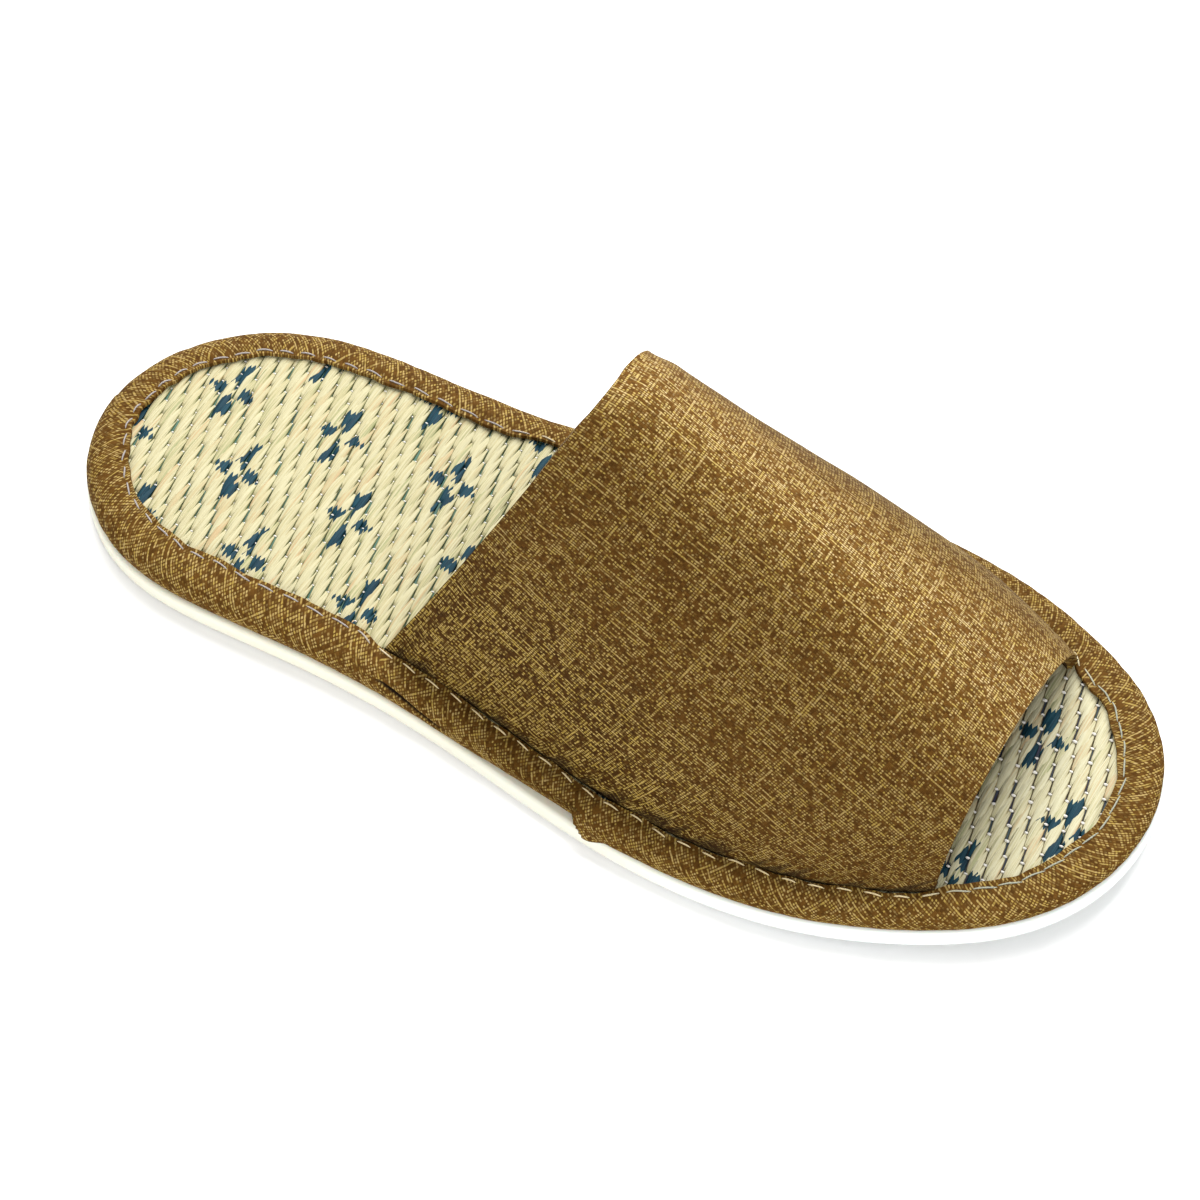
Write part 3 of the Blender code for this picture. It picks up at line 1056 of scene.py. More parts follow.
@dataclass(frozen=True)
class RushMat:
    """Woven rush face: floats in a two-over-one twill, tied down by warp cords, over a dark ground."""

    plan: Plan
    warp_pitch: float = 3.8
    tie_every: int = 3
    repeat: float = 29.6
    groups_in_repeat: int = 22
    cross_rows: int = 4
    row_shift: float = 20.4
    row_offset: float = 15.3
    motif_x: float = 13.1
    motif_y: float = 76.4
    tuck: float = 2.6
    vamp_tuck: float = 1.0
    ground_around: int = 240
    ground_scales: tuple[float, ...] = (0.96, 0.8, 0.6, 0.4, 0.2, 0.0)
    ground_drop: float = 0.62
    rim_drop: float = 0.4
    ground_undercut: float = 2.9
    half_wide: float = 1.18
    half_pinched: float = 0.78
    pinch_less: float = 0.17
    pinch_y: Span = (-70.0, 30.0)
    lens_power: float = 2.2
    lean: float = 0.095
    plump: Span = (0.88, 1.14)
    sway: float = 0.10
    bob: float = 0.05
    seat: float = 0.35
    crown: float = 0.52
    end_crown: float = 0.45
    dip: float = 0.36
    least_float: float = 1.5
    long_steps: int = 9
    tie_half: tuple[float, float, float] = (0.23, 0.40, 0.25)
    tie_rings: int = 4
    tie_sides: int = 6
    tie_ends: Span = (0.12, 0.88)
    tie_vary: Span = (0.8, 1.15)
    tie_sunk: Span = (-0.10, 0.20)
    tie_toe: Span = (0.0, -70.0)
    tie_tuck: float = 1.0
    tie_more: float = 0.50
    tie_drop: float = 0.20
    jitter: float = 0.13
    dye_reach: float = 15.0
    undyed: float = -9.0
    seed: int = 7
    # Section of a float: share of its half width and share of its crown, at each point.
    section: tuple[tuple[float, float], ...] = (
        (-1.0, 0.0),
        (-0.72, 0.72),
        (0.0, 1.0),
        (0.72, 0.72),
        (1.0, 0.0),
        (0.0, -0.35),
    )
    cross: tuple[Dye, ...] = (
        Dye(group=-4, shift=-0.4, from_middle=-3.0, to_end=0.5),
        Dye(group=-3, shift=-0.2, from_middle=-3.0, to_end=1.7),
        Dye(group=-2, shift=0.0, from_middle=-3.0, to_end=1.6),
        Dye(group=-1, shift=-5.2, from_middle=-3.0, to_end=2.2),
        Dye(group=0, shift=0.0, from_middle=1.1, to_end=9.0),
        Dye(group=1, shift=5.2, from_middle=-3.0, to_end=2.2),
        Dye(group=2, shift=0.0, from_middle=-3.0, to_end=1.6),
        Dye(group=3, shift=0.2, from_middle=-3.0, to_end=1.7),
        Dye(group=4, shift=0.4, from_middle=-3.0, to_end=0.5),
    )

    @property
    def group_pitch(self) -> float:
        """Distance between two groups of stems."""
        return self.repeat / self.groups_in_repeat

    def ties(self) -> tuple[np.ndarray, np.ndarray]:
        """Warp and group numbers of the ties, which step one warp on from group to group."""
        reach = 0.5 * self.plan.length
        group = np.arange(-int(reach / self.group_pitch), int(reach / self.group_pitch) + 1)
        warp = np.arange(-int(reach / self.warp_pitch), int(reach / self.warp_pitch) + 1)
        group, warp = np.meshgrid(group, warp, indexing="ij")
        tied = (group - warp) % self.tie_every == 0
        return warp[tied], group[tied]

    def dyes(self, x: np.ndarray, group: np.ndarray) -> dict[str, np.ndarray]:
        """Where each float is dyed.

        The crosses stand in rows along the mat, one repeat apart, every second row half a repeat on. A
        float takes the dye of its group in the nearest cross that it reaches.

        Args:
            x: Middle of each float across the mat.
            group: Its group number.

        Returns:
            The dye's middle across the mat and its two distances from there, by name.
        """
        middle = np.zeros(len(x))
        nearer = np.zeros(len(x))
        farther = np.full(len(x), self.undyed)
        nearest = np.full(len(x), self.dye_reach)
        for row in range(-self.cross_rows, self.cross_rows):
            cross_x = self.motif_x + self.row_shift * row
            cross_y = self.motif_y + self.row_offset * (row % 2)
            half = self.groups_in_repeat // 2
            offset = (group - round(cross_y / self.group_pitch) + half) % self.groups_in_repeat - half
            for dye in self.cross:
                distance = np.abs(x - cross_x - dye.shift)
                takes = (offset == dye.group) & (distance < nearest)
                middle[takes] = cross_x + dye.shift
                nearer[takes] = dye.from_middle
                farther[takes] = dye.to_end
                nearest[takes] = distance[takes]
        return {"dye_middle": middle, "dye_from": nearer, "dye_to": farther}

    def build_floats(self) -> bpy.types.Object:
        """Lay one float from each tie to the next tie of its group.

        Along a float, s runs from -1 to 1 between its ties. Its half width goes from pinched to wide as
        1 less a power of s, its middle line leans toward the heel, and it rises from under the warps as
        1 less the square of s. Its section is a peaked round over a flat underside.
        """
        plan = self.plan
        chance = np.random.default_rng(self.seed)
        warp, group = self.ties()
        span = self.tie_every * self.warp_pitch
        middle = warp * self.warp_pitch + 0.5 * span
        y = group * self.group_pitch + chance.normal(0.0, self.jitter, len(group))
        edge = plan.half_width(y, plan.lip_inset - self.tuck)
        beside_vamp = (y < plan.throat_y) & (y > plan.toe_edge_y)
        edge = np.where(beside_vamp, edge + self.vamp_tuck, edge)
        low = np.maximum(middle - 0.5 * span, -edge)
        high = np.minimum(middle + 0.5 * span, edge)
        keep = high - low > self.least_float
        middle, y, low, high, group = (part[keep] for part in (middle, y, low, high, group))
        count = len(y)
        share = np.linspace(0.0, 1.0, self.long_steps)[None, :, None]
        x = low[:, None, None] + (high - low)[:, None, None] * share
        s = (x - middle[:, None, None]) / (0.5 * span)
        plump = chance.uniform(*self.plump, count)[:, None, None]
        pinched = self.half_pinched + self.pinch_less * smooth_step(y, *self.pinch_y)[:, None, None]
        half = pinched + (self.half_wide - pinched) * (1.0 - np.abs(s) ** self.lens_power)
        aside, over = np.array(self.section).T[:, None, None, :]
        sway = chance.normal(0.0, self.sway, count)[:, None, None]
        rise = 1.0 - s * s
        middle_line = y[:, None, None] + (self.lean * 0.5 * span) * s + sway * rise
        points_y = middle_line + half * plump * aside
        thick = self.crown * (self.end_crown + (1.0 - self.end_crown) * rise)
        lift = -self.dip * (1.0 - rise) + chance.normal(0.0, self.bob, count)[:, None, None] * rise
        points_x = np.broadcast_to(x, points_y.shape)
        points_z = plan.rush_face(points_x, points_y) - self.seat + lift + thick * over
        points = np.stack([points_x, points_y, points_z], axis=-1).reshape(-1, 3)
        section = len(self.section)
        each = self.long_steps * section
        sides = grid_quads(self.long_steps, section, wrap_columns=True)
        # Two quads close an end of the float's six-pointed section.
        cap = np.array([[0, 1, 2, 5], [2, 3, 4, 5]])
        caps = np.concatenate([cap, cap[:, ::-1] + each - section])
        faces = repeat_faces(np.concatenate([sides[:, ::-1], caps]), each, count)
        marks = {
            "over": np.broadcast_to(aside, points_y.shape).ravel(),
            "tone": np.repeat(chance.uniform(0.0, 1.0, count), each),
            **{name: np.repeat(numbers, each) for name, numbers in self.dyes(middle, group).items()},
        }
        piece = lay_mesh("rush_floats", points, [faces], marks=marks)
        return settle(piece, Slot.RUSH, RushStraw().material())

    def build_ties(self) -> bpy.types.Object:
        """Set a small rounded loop of warp cord over each pinched group: a stretched ball with cut ends."""
        plan = self.plan
        chance = np.random.default_rng(self.seed + 1)
        warp, group = self.ties()
        x = warp * self.warp_pitch
        y = group * self.group_pitch
        keep = np.abs(x) < plan.half_width(y, plan.lip_inset - self.tie_tuck)
        x, y = x[keep], y[keep]
        count = len(x)
        polar = math.pi * np.linspace(*self.tie_ends, self.tie_rings)[:, None]
        turn = np.linspace(0.0, 2.0 * math.pi, self.tie_sides, endpoint=False)[None, :]
        ball = [np.sin(polar) * np.cos(turn), np.cos(polar) + 0.0 * turn, np.sin(polar) * np.sin(turn)]
        ball = np.stack(ball, axis=-1).reshape(-1, 3)
        toe = smooth_step(y, *self.tie_toe)
        vary = chance.uniform(*self.tie_vary, (count, 1, 1))
        size = np.array(self.tie_half) * vary * (1.0 + self.tie_more * toe)[:, None, None]
        sunk = self.tie_drop * (1.0 - toe) + chance.uniform(*self.tie_sunk, count)
        centre = np.stack([x, y, plan.rush_face(x, y) - self.seat - sunk], axis=-1)
        points = (centre[:, None, :] + ball[None] * size).reshape(-1, 3)
        each = len(ball)
        sides = grid_quads(self.tie_rings, self.tie_sides, wrap_columns=True)
        ring = np.arange(self.tie_sides)
        caps = np.array([ring, each - 1 - ring])[:, ::-1]
        faces = [repeat_faces(part, each, count) for part in (sides, caps)]
        piece = lay_mesh("warp_ties", points, faces)
        return settle(piece, Slot.RUSH, WarpCord().material())

    def build_ground(self) -> bpy.types.Object:
        """Footbed under the floats: loft rings from the underside's axis to the domed upper face's axis."""
        plan = self.plan
        around = self.ground_around
        points, normals = plan.ring_at(np.arange(around) * plan.girth() / around)
        foot = points - normals * self.ground_undercut
        rim = points - normals * (plan.lip(points[:, 1]) - self.tuck)[:, None]
        rings = [foot * np.array([0.0, 1.0]), foot, rim]
        levels = [plan.sole_top(ring[:, 1]) + plan.gap for ring in rings[:2]]
        levels.append(plan.mat_level(rim[:, 1]) - self.ground_drop - self.rim_drop)
        for scale in self.ground_scales:
            ring = rim * np.array([scale, 1.0])
            rings.append(ring)
            levels.append(plan.rush_face(ring[:, 0], ring[:, 1]) - self.ground_drop)
        piece = loft("mat_ground", np.array(rings), np.array(levels))
        settle(piece, Slot.RUSH, DarkGround().material())
        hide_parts("insole")
        return piece

    def build(self) -> None:
        """Build the ground, the floats and the ties."""
        self.build_ground()
        self.build_floats()
        self.build_ties()


@dataclass(frozen=True)
class BiasTape:
    """Cloth tape folded round the edge of the footbed, lapped on the near side and sewn near its lip."""

    plan: Plan
    thick: float = 0.8
    squareness: float = 2.2
    side_share: float = 0.35
    tuck: float = 1.15
    around: int = 720
    across: int = 40
    turn_share: float = 0.74
    tuck_power: float = 2.2
    edge_round: float = 0.3
    edge_steps: int = 2
    lip_waves: tuple[Wave, ...] = (Wave(0.45, 9.0, 3), Wave(0.25, 3.5, 4))
    puff: Wave = Wave(0.22, 6.5, 5)
    puff_slant: float = 4.0
    ripple: Wave = Wave(0.12, 2.6, 6)
    ripple_slant: float = 14.0
    hem_wave: Wave = Wave(0.3, 11.0, 8)
    stitch_pitch: float = 6.4
    stitch_share: Regions = Regions(heel=0.74, side=0.62, toe=1.04)
    stitch_in: Regions = Regions(heel=1.2, side=0.8, toe=1.7)
    stitch_slant: float = 0.22
    stitch_vary: Span = (0.86, 1.08)
    stitch_stray: float = 0.12
    stitch_seed: int = 11
    thread_radius: float = 0.20
    thread_steps: int = 12
    thread_sides: int = 6
    thread_rise: float = 0.23
    thread_dip: float = 0.10
    thread_end: float = 0.45
    dimple: float = 0.42
    dimple_half: float = 1.1
    dimple_least: float = 0.35
    lap_y: float = -22.0
    lap_corner: float = 3.2
    lap_slope: Span = (0.60, 0.95)
    lap_edge: float = 0.5
    lap_flat: float = 1.0
    lap_rise: float = 0.55
    lap_fade: float = 16.0
    lap_hang: float = 1.5
    hang_from: Span = (0.66, 0.98)
    hang_out: float = 1.05
    hang_fade: float = 7.0
    near_side: Span = (0.0, -8.0)
    drawn_from: float = 18.0
    drawn_share: float = 0.35
    drawn_in: float = 1.3
    drawn_up: float = 1.3
    gape_y: float = 24.0
    gape_half: float = 9.5
    gape_share: Span = (0.68, 0.50)
    gape_width: float = 0.040
    gape_depth: float = 1.3
    turn_deg: float = 42.0
    dark: Colour = (0.056, 0.024, 0.0030)
    brown: Colour = (0.098, 0.044, 0.0065)
    gold: Colour = (0.345, 0.237, 0.050)
    pale: Colour = (0.410, 0.295, 0.112)

    def stitch_wave(self, arc: np.ndarray) -> np.ndarray:
        """1 at the end of each stitch, where the thread goes down, and 0 half way between."""
        return 0.5 + 0.5 * np.cos(2.0 * math.pi * arc / self.pitch())

    def pitch(self) -> float:
        """Stitch pitch that fits round the outline a whole number of times."""
        girth = self.plan.girth()
        return girth / round(girth / self.stitch_pitch)

    def by_region(self, sizes: Regions, y: np.ndarray) -> np.ndarray:
        """Blend a size along the slipper, from region to region."""
        plan = self.plan
        to_side = smooth_step(-y, -plan.throat_y - plan.lip_blend, -plan.throat_y)
        to_toe = smooth_step(-y, -plan.toe_edge_y, plan.lip_blend - plan.toe_edge_y)
        return sizes.heel + (sizes.side - sizes.heel) * to_side + (sizes.toe - sizes.side) * to_toe

    def gape(self, base: np.ndarray, across: np.ndarray) -> np.ndarray:
        """1 in the slit where the tape's two layers part on the near side, falling to 0 beside it.

        The slit climbs from the tape's lower edge toward the heel; across it the fall is a bell.

        Args:
            base: Outline points.
            across: Share of the way over the tape.

        Returns:
            The slit's depth from 0 to 1.
        """
        y = base[..., 1]
        along = (y - self.gape_y) / self.gape_half
        low, high = self.gape_share
        line = low + (high - low) * smooth_step(along, -1.0, 1.0)
        inside = np.exp(-(along ** 4)) * smooth_step(base[..., 0], *self.near_side)
        return inside * bell(across - line, self.gape_width)

    def surface(self, arc: np.ndarray, across: np.ndarray) -> np.ndarray:
        """Outer face of the tape.

        Across the tape, from its lip to the side, the section is a quarter of a superellipse; below the
        side it turns in under the footbed. Added to it are the lip's wander, a dimple at each stitch end,
        soft bias ripples, the lap with its hanging corner, the edge drawn up before it and a slit.

        Args:
            arc: Distance along the outline from the heel.
            across: Share of the way from the lip, 0, to the tucked edge, 1.

        Returns:
            Points in millimetres, on the last axis.
        """
        plan = self.plan
        arc, across = np.broadcast_arrays(arc, across)
        base, normal = plan.ring_at(arc)
        y = base[..., 1]
        lift = plan.tape_lift(y)
        side = self.side_share * lift
        lip = plan.lip(y) + sum(wave.at(arc) for wave in self.lip_waves)
        over = np.clip(across / self.turn_share, 0.0, 1.0)
        turn = 0.5 * math.pi * over
        out = np.clip(np.sin(turn), 0.0, 1.0) ** (2.0 / self.squareness)
        up = np.clip(np.cos(turn), 0.0, 1.0) ** (2.0 / self.squareness)
        under = np.clip((across - self.turn_share) / (1.0 - self.turn_share), 0.0, 1.0)
        inset = lip * (1.0 - out) + self.tuck * under ** self.tuck_power
        height = side + (lift - side) * up + (plan.gap - side) * under
        from_lip = lip - inset
        from_seam = from_lip - self.by_region(self.stitch_in, y)
        sewn = bell(from_seam, self.dimple_half) * (1.0 - under)
        drop = self.dimple_least + (1.0 - self.dimple_least) * self.stitch_wave(arc)
        press = self.dimple * sewn * drop
        puff = self.puff.at(arc + self.puff_slant * across) * np.sin(math.pi * over)
        ripple = self.ripple.at(arc - self.ripple_slant * across) * np.sin(math.pi * across)
        lap_arc = plan.arc_on_near_side(self.lap_y) + self.lap_corner * smooth_step(across, *self.lap_slope)
        past = arc - lap_arc
        laid = smooth_step(past, -self.lap_edge, self.lap_edge)
        lap = laid * (1.0 - smooth_step(past, self.lap_flat, self.lap_fade))
        hang = laid * (1.0 - smooth_step(past, self.lap_flat, self.hang_fade))
        hang = hang * smooth_step(across, *self.hang_from)
        near = smooth_step(base[..., 0], *self.near_side)
        lower = smooth_step(across, self.drawn_share, self.turn_share)
        drawn = near * smooth_step(y, self.drawn_from, self.lap_y) * (1.0 - laid) * lower
        groove = self.gape_depth * self.gape(base, across)
        inset = inset - hang * self.hang_out + drawn * self.drawn_in + groove
        height = height - hang * self.lap_hang + self.hem_wave.at(arc) * under
        height = height + drawn * self.drawn_up * (1.0 - under)
        swell = puff + ripple + lap * self.lap_rise - press
        slope = np.clip(from_lip / np.maximum(lip, 1.0), 0.0, 1.0)
        inset = inset - swell * slope
        height = height + swell * (1.0 - slope) * (1.0 - under)
        plan_point = base - normal * inset[..., None]
        z = plan.sole_top(plan_point[..., 1]) + height
        return np.concatenate([plan_point, z[..., None]], axis=-1)

    def build_tape(self) -> bpy.types.Object:
        """Lay the tape's face on a grid round the outline and give it its thickness inward."""
        girth = self.plan.girth()
        arc = (np.arange(self.around) * girth / self.around)[:, None]
        across = np.linspace(0.0, 1.0, self.across)[None, :]
        grid = self.surface(arc, across)
        faces = grid_quads(self.around, self.across, wrap_rows=True)
        width = steps_along(grid, 1).sum(axis=1).mean()
        first = np.repeat(np.arange(self.around), self.across - 1)
        row = np.stack([first, first, first + 1, first + 1], axis=1) * girth / self.around
        column = np.mod(faces, self.across) * width / (self.across - 1)
        pattern = np.stack([row, column], axis=-1)
        base, _ = self.plan.ring_at(arc + 0.0 * across)
        # The slit's depth also marks where the cloth gets its painted shadow.
        marks = {"crease": self.gape(base, across + 0.0 * arc).ravel()}
        piece = lay_mesh("bias_tape", grid.reshape(-1, 3), [faces], pattern=pattern, marks=marks)
        thicken(piece, self.thick, self.edge_round, self.edge_steps)
        cloth = MelangeCloth(
            "tape_cloth",
            turn_deg=self.turn_deg,
            dark=self.dark,
            brown=self.brown,
            gold=self.gold,
            pale=self.pale,
            painted_slit_shadow=True,
        )
        settle(piece, Slot.TAPE, cloth.material())
        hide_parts("binding")
        return piece

    def build_stitches(self) -> bpy.types.Object:
        """Bend one short tube of thread for each stitch along the tape, its ends going down into the cloth.

        Along a stitch, s runs from -1 to 1; the tube's radius and its height over the tape fall off
        toward both ends as 1 less the fourth power of s.
        """
        plan = self.plan
        girth = plan.girth()
        pitch = self.pitch()
        count = round(girth / pitch)
        chance = np.random.default_rng(self.stitch_seed)
        s = np.linspace(-1.0, 1.0, self.thread_steps)
        middle_arc = (np.arange(count) + 0.5) * pitch
        middle_y = plan.ring_at(middle_arc)[0][:, 1]
        length = pitch * self.by_region(self.stitch_share, middle_y)
        length = length * chance.uniform(*self.stitch_vary, count)
        arc = middle_arc[:, None] + 0.5 * length[:, None] * s[None]
        base, _ = plan.ring_at(arc)
        lip = plan.lip(base[..., 1])
        depth = self.by_region(self.stitch_in, middle_y) + chance.normal(0.0, self.stitch_stray, count)
        depth = depth[:, None] + self.stitch_slant * s[None]
        out = np.clip(depth / lip, 0.0, 1.0) ** (self.squareness / 2.0)
        across = np.arcsin(out) / (0.5 * math.pi) * self.turn_share
        middle = self.surface(arc, across)
        fall = 1.0 - s ** 4
        middle[..., 2] += self.thread_rise * fall[None] - self.thread_dip
        ahead = unit(np.gradient(middle, axis=1))
        side = unit(np.cross(ahead, np.array([0.0, 0.0, 1.0])))
        up = np.cross(side, ahead)
        turn = np.linspace(0.0, 2.0 * math.pi, self.thread_sides, endpoint=False)
        radius = self.thread_radius * (self.thread_end + (1.0 - self.thread_end) * fall)
        spoke = side[:, :, None, :] * np.cos(turn)[None, None, :, None]
        spoke = spoke + up[:, :, None, :] * np.sin(turn)[None, None, :, None]
        points = middle[:, :, None, :] + spoke * radius[None, :, None, None]
        each = self.thread_steps * self.thread_sides
        sides = grid_quads(self.thread_steps, self.thread_sides, wrap_columns=True)
        ring = np.arange(self.thread_sides)
        caps = np.array([ring[::-1], ring + each - self.thread_sides])
        faces = [repeat_faces(part[:, ::-1], each, count) for part in (sides, caps)]
        piece = lay_mesh("tape_stitches", points.reshape(-1, 3), faces)
        return settle(piece, Slot.TAPE, SewingThread().material())

    def build(self) -> None:
        """Build the tape and its stitches."""
        self.build_tape()
        self.build_stitches()


@dataclass(frozen=True)
class PaddedVamp:
    """Padded cloth arch over the foot, open at throat and toe."""

    plan: Plan
    throat: Arch = Arch(base_y=35.9, lean=0.54, rise=76.1, squareness=2.26, bulge=2.2)
    middle: Arch = Arch(base_y=-31.5, lean=0.05, rise=61.4, squareness=1.72, bulge=1.1)
    toe: Arch = Arch(base_y=-98.9, lean=0.06, rise=18.6, squareness=1.90, bulge=0.0)
    wall: float = 2.6
    edge_round: float = 1.05
    edge_steps: int = 3
    inset: float = 8.4
    foot: float = 0.5
    long_steps: int = 150
    arch_steps: int = 170
    dense_rows: int = 9
    dense_steps: int = 1201
    far_trim: float = 0.046
    crown_trim: float = 0.018
    trim_from: Span = (0.50, 0.69)
    crown_to: Span = (0.70, 0.90)
    edge_roll: float = 1.2
    roll_reach: float = 7.0
    pucker: float = 0.75
    pucker_pitch: float = 6.4
    pucker_reach: float = 5.0
    pucker_sway: Wave = Wave(1.6, 17.0, 21)
    pucker_vary: Wave = Wave(0.4, 13.0, 22)
    swell_along: Wave = Wave(0.18, 12.0, 23)
    along_slant: float = 0.35
    swell_round: Wave = Wave(0.14, 15.0, 24)
    round_slant: float = 0.2
    hem_held: float = 3.0
    # Half width of the painted sheen along the vamp's ridge.
    sheen_half: float = 29.0
    # How far the painted shade along the hems reaches.
    painted_hem_shade: float = 5.5
    creases: tuple[Crease, ...] = (
        Crease(along=0.10, side=0.26, length=34.0, width=9.0, tilt_deg=12.0, rise=-0.5),
        Crease(along=0.22, side=0.33, length=40.0, width=10.0, tilt_deg=18.0, rise=0.35),
        Crease(along=0.42, side=0.22, length=30.0, width=9.0, tilt_deg=-10.0, rise=-0.4),
        Crease(along=0.62, side=0.30, length=36.0, width=11.0, tilt_deg=8.0, rise=0.35),
        Crease(along=0.80, side=0.25, length=26.0, width=8.0, tilt_deg=-14.0, rise=-0.35),
        Crease(along=0.30, side=0.74, length=34.0, width=10.0, tilt_deg=-12.0, rise=-0.45),
        Crease(along=0.66, side=0.72, length=30.0, width=9.0, tilt_deg=10.0, rise=0.35),
    )

    def arches(self, along: np.ndarray, turn: np.ndarray) -> np.ndarray:
        """Plain outer face: superellipse arches swept from throat to toe.

        Every column of the arches is a parabola through its values at throat, middle and toe.

        Args:
            along: Share of the way from throat to toe.
            turn: Angle round the arch from the near hem, 0, to the far hem, pi.

        Returns:
            Points in millimetres, on the last axis.
        """
        swept = []
        for throat, middle, toe in zip(self.throat, self.middle, self.toe):
            bow = 4.0 * middle - 2.0 * (throat + toe)
            swept.append(throat + (toe - throat) * along + bow * along * (1.0 - along))
        arch = Arch(*swept)
        power = 2.0 / arch.squareness
        half = self.plan.half_width(arch.base_y, self.inset) + arch.bulge * np.sin(turn)
        side = np.cos(turn)
        rise = arch.rise * np.clip(np.sin(turn), 0.0, 1.0) ** power
        x = -half * np.sign(side) * np.abs(side) ** power
        y = arch.base_y - arch.lean * rise
        z = self.plan.mat_level(arch.base_y) + self.foot + rise
        return np.stack([x, y, z], axis=-1)

    def folds(self, run: np.ndarray, girth: np.ndarray, from_hem: np.ndarray) -> np.ndarray:
        """Height of the soft folds over the plain arches.

        Each crease is a bell along and across its line; near the hems the stitches draw up small puckers
        that fade upward, and the throat edge rolls in.

        Args:
            run: Distance from the throat edge along the vamp.
            girth: Distance round the arch from the near hem.
            from_hem: Distance from the nearer hem.

        Returns:
            Height along the face's normal.
        """
        longest = run.max()
        widest = girth.max()
        height = np.zeros_like(run)
        for crease in self.creases:
            ahead = run - crease.along * longest
            aside = girth - crease.side * widest
            tilt = math.radians(crease.tilt_deg)
            with_fold = aside * math.cos(tilt) + ahead * math.sin(tilt)
            over_fold = ahead * math.cos(tilt) - aside * math.sin(tilt)
            fold = bell(with_fold, 0.5 * crease.length) * bell(over_fold, 0.5 * crease.width)
            height = height + crease.rise * fold
        drawn = np.cos(2.0 * math.pi * (run + self.pucker_sway.at(run)) / self.pucker_pitch)
        drawn = drawn * (1.0 - self.pucker_vary.height + self.pucker_vary.at(run))
        height = height + self.pucker * drawn * np.exp(-from_hem / self.pucker_reach)
        height = height - self.edge_roll * (1.0 - smooth_step(run, 0.0, self.roll_reach))
        height = height + self.swell_along.at(run + self.along_slant * girth)
        height = height + self.swell_round.at(girth - self.round_slant * run)
        return height

    def build(self) -> bpy.types.Object:
        """Lay the face on a grid, raise its folds along the normals, and give it the padded wall inward.

        The throat edge is cut a little further forward on the far half than on the near half.
        """
        along = np.linspace(0.0, 1.0, self.long_steps)[:, None]
        share = np.linspace(0.0, 1.0, self.arch_steps)[None, :]
        dense = np.linspace(0.0, math.pi, self.dense_steps)[None, :]
        arch = self.arches(np.linspace(0.0, 1.0, self.dense_rows)[:, None], dense)
        travelled = distance_along(arch, 1).mean(axis=0)
        turn = np.interp(share[0] * travelled[-1], travelled, dense[0])[None, :]
        turn = turn + 0.0 * along
        half_turns = turn / math.pi
        trim = self.far_trim + self.crown_trim * (1.0 - smooth_step(half_turns, *self.crown_to))
        trimmed = smooth_step(half_turns, *self.trim_from) * trim
        grid = self.arches(trimmed + (1.0 - trimmed) * along, turn)
        lead = np.linalg.norm(grid[:1] - self.arches(0.0 * turn[:1], turn[:1]), axis=2)
        run = distance_along(grid, 0)
        girth = distance_along(grid, 1)
        from_hem = np.minimum(girth, girth[:, -1:] - girth)
        normal = unit(np.cross(np.gradient(grid, axis=0), np.gradient(grid, axis=1)))
        held = smooth_step(from_hem, 0.0, self.hem_held)
        grid = grid + normal * (self.folds(run, girth, from_hem) * held)[..., None]
        faces = grid_quads(self.long_steps, self.arch_steps)[:, ::-1]
        centred = girth - 0.5 * girth[:, -1:]
        coordinates = np.stack([centred, run + lead], axis=-1).reshape(-1, 2)
        marks = {"from_hem": from_hem.ravel()}
        pattern = coordinates[faces]
        piece = lay_mesh("padded_vamp", grid.reshape(-1, 3), [faces], pattern=pattern, marks=marks)
        wall = thicken(piece, self.wall, self.edge_round, self.edge_steps)
        wall.use_even_offset = True
        wall.material_offset = 1
        wall.material_offset_rim = 2
        # The face cloth carries the painted sheen along its ridge and the painted shade along its hems.
        face = MelangeCloth("vamp_cloth", sheen_half=self.sheen_half, painted_hem_shade=self.painted_hem_shade)
        lining = MelangeCloth(
            "vamp_lining",
            dark=(0.020, 0.010, 0.003),
            brown=(0.040, 0.021, 0.007),
            gold=(0.07, 0.044, 0.014),
            pale=(0.10, 0.064, 0.026),
        )
        turned = MelangeCloth("vamp_edge", by_place=True)
        settle(piece, Slot.CLOTH, face.material(), lining.material(), turned.material())
        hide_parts("upper")
        return piece


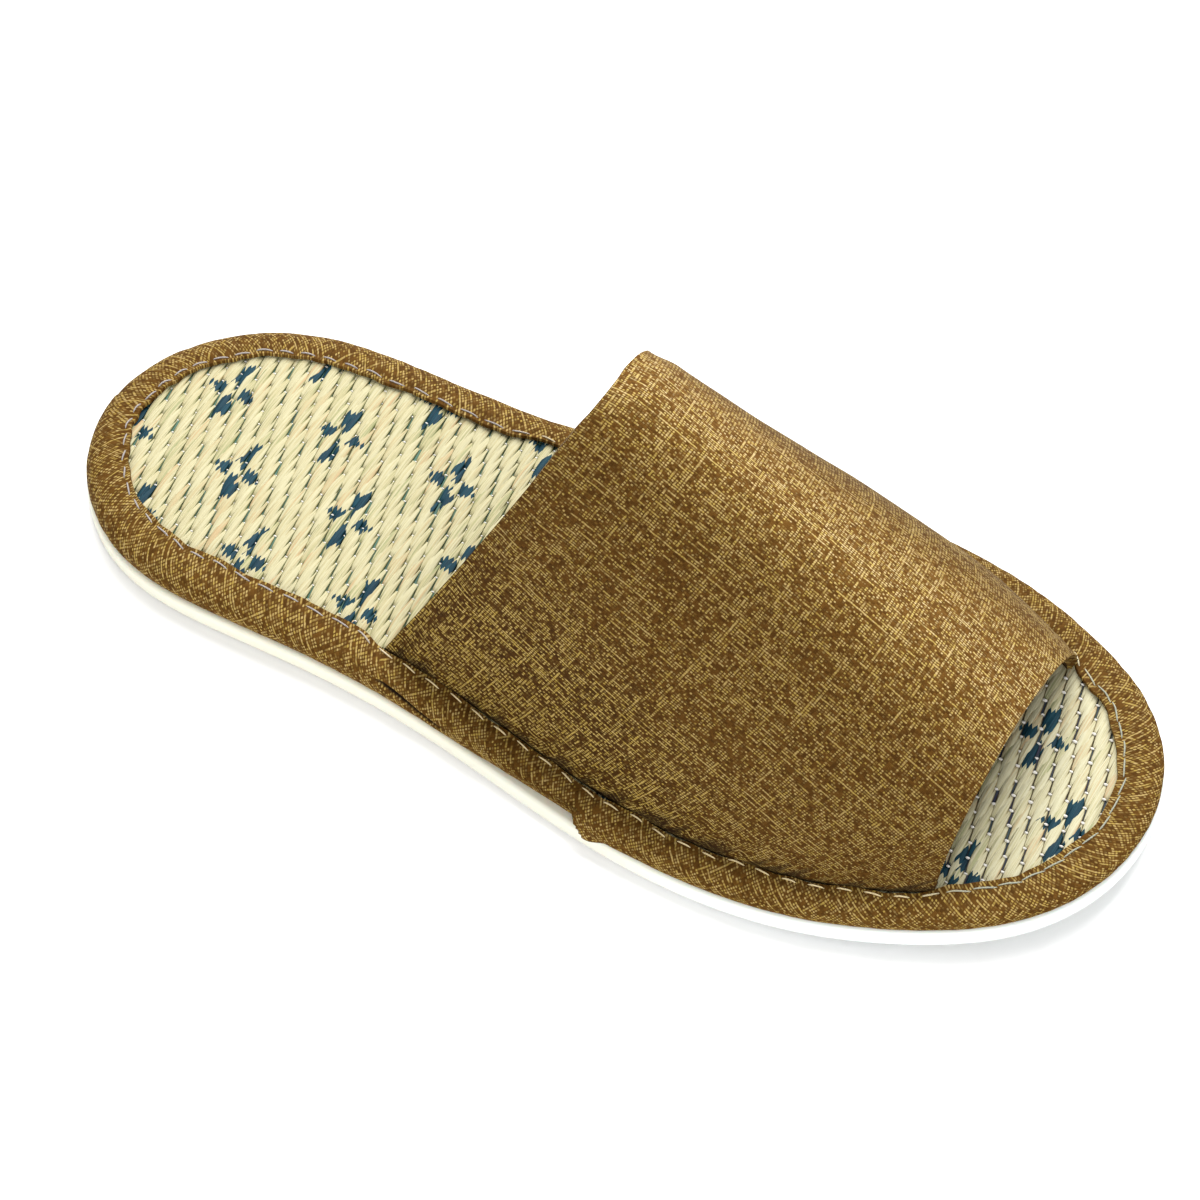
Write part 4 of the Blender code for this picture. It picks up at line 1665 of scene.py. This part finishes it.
@dataclass(frozen=True)
class Studio:
    """Pale floor, soft light and the picture's camera."""

    azimuth_deg: float = -61.491
    elevation_deg: float = 49.005
    distance: float = 866.741
    pivot_height: float = 20.0
    slide_right: float = 27.639
    slide_up: float = 21.869
    focal_px: float = 3600.0
    frame_px: float = 1200.0
    aim_px: tuple[float, float] = (483.0, 715.0)
    closer: float = 1.1
    floor_size: float = 6000.0
    floor_tone: float = 0.95
    floor_rough: float = 0.9
    sensor: float = 36.0
    nearest: float = 10.0
    aim_height: float = 30.0
    sky: float = 0.60
    lamps: tuple[Lamp, ...] = (
        Lamp("key_light", place=(850.0, 240.0, 1090.0), size=1300.0, watts=41.0),
        Lamp("fill_light", place=(-950.0, -450.0, 330.0), size=900.0, watts=11.0),
    )

    def build_camera(self) -> None:
        """Stand the camera where the picture was taken and turn it so that the slipper fills the frame."""
        azimuth = math.radians(self.azimuth_deg)
        elevation = math.radians(self.elevation_deg)
        back = np.array(
            [
                math.sin(azimuth) * math.cos(elevation),
                -math.cos(azimuth) * math.cos(elevation),
                math.sin(elevation),
            ]
        )
        right = unit(np.cross([0.0, 0.0, 1.0], back))
        up = np.cross(back, right)
        place = back * self.distance + right * self.slide_right + up * self.slide_up
        place[2] += self.pivot_height
        middle = 0.5 * self.frame_px
        look = right * (self.aim_px[0] - middle) - up * (self.aim_px[1] - middle) - back * self.focal_px
        turned_back = unit(-look)
        turned_up = unit(np.cross(turned_back, right))
        turned_right = np.cross(turned_up, turned_back)
        data = bpy.data.cameras.new("picture_camera")
        data.sensor_width = self.sensor
        data.lens = data.sensor_width * self.focal_px / self.frame_px * self.closer
        data.clip_start = self.nearest * MM
        camera = bpy.data.objects.new("picture_camera", data)
        stand(camera, (turned_right, turned_up, turned_back), place)
        bpy.context.scene.camera = camera

    def build_floor(self) -> None:
        """Lay the pale floor."""
        half = 0.5 * self.floor_size
        corners = np.array([[-half, -half, 0.0], [half, -half, 0.0], [half, half, 0.0], [-half, half, 0.0]])
        floor = lay_mesh("floor", corners, [np.array([[0, 1, 2, 3]])])
        pale = (self.floor_tone, self.floor_tone, self.floor_tone, 1.0)
        finish = Bench("pale_floor").dress({"Base Color": pale, "Roughness": self.floor_rough})
        floor.data.materials.append(finish)

    def build_light(self, lamp: Lamp) -> None:
        """Hang a lamp, aimed at the slipper."""
        data = bpy.data.lights.new(lamp.name, "AREA")
        data.shape = "SQUARE"
        data.size = lamp.size * MM
        data.energy = lamp.watts
        place = np.array(lamp.place)
        back = (place - np.array([0.0, 0.0, self.aim_height])) / np.linalg.norm(place)
        side = unit(np.cross([0.0, 1.0, 0.0], back))
        stand(bpy.data.objects.new(lamp.name, data), (side, np.cross(back, side), back), place)

    def build(self) -> None:
        """Set floor, lights, sky and camera."""
        self.build_camera()
        self.build_floor()
        for lamp in self.lamps:
            self.build_light(lamp)
        scene = bpy.context.scene
        scene.view_settings.view_transform = "Standard"
        world = bpy.data.worlds.new("soft_sky")
        world.use_nodes = True
        sky = world.node_tree.nodes["Background"]
        sky.inputs["Color"].default_value = (1.0, 1.0, 1.0, 1.0)
        sky.inputs["Strength"].default_value = self.sky
        scene.world = world


def main() -> None:
    """Build the slipper piece by piece, then the studio round it."""
    logging.basicConfig(level=logging.INFO, format="%(message)s")
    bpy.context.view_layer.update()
    plan = Plan()
    Studio().build()
    FoamSole(plan).build()
    RushMat(plan).build()
    BiasTape(plan).build()
    PaddedVamp(plan).build()


if __name__ == "__main__":
    main()
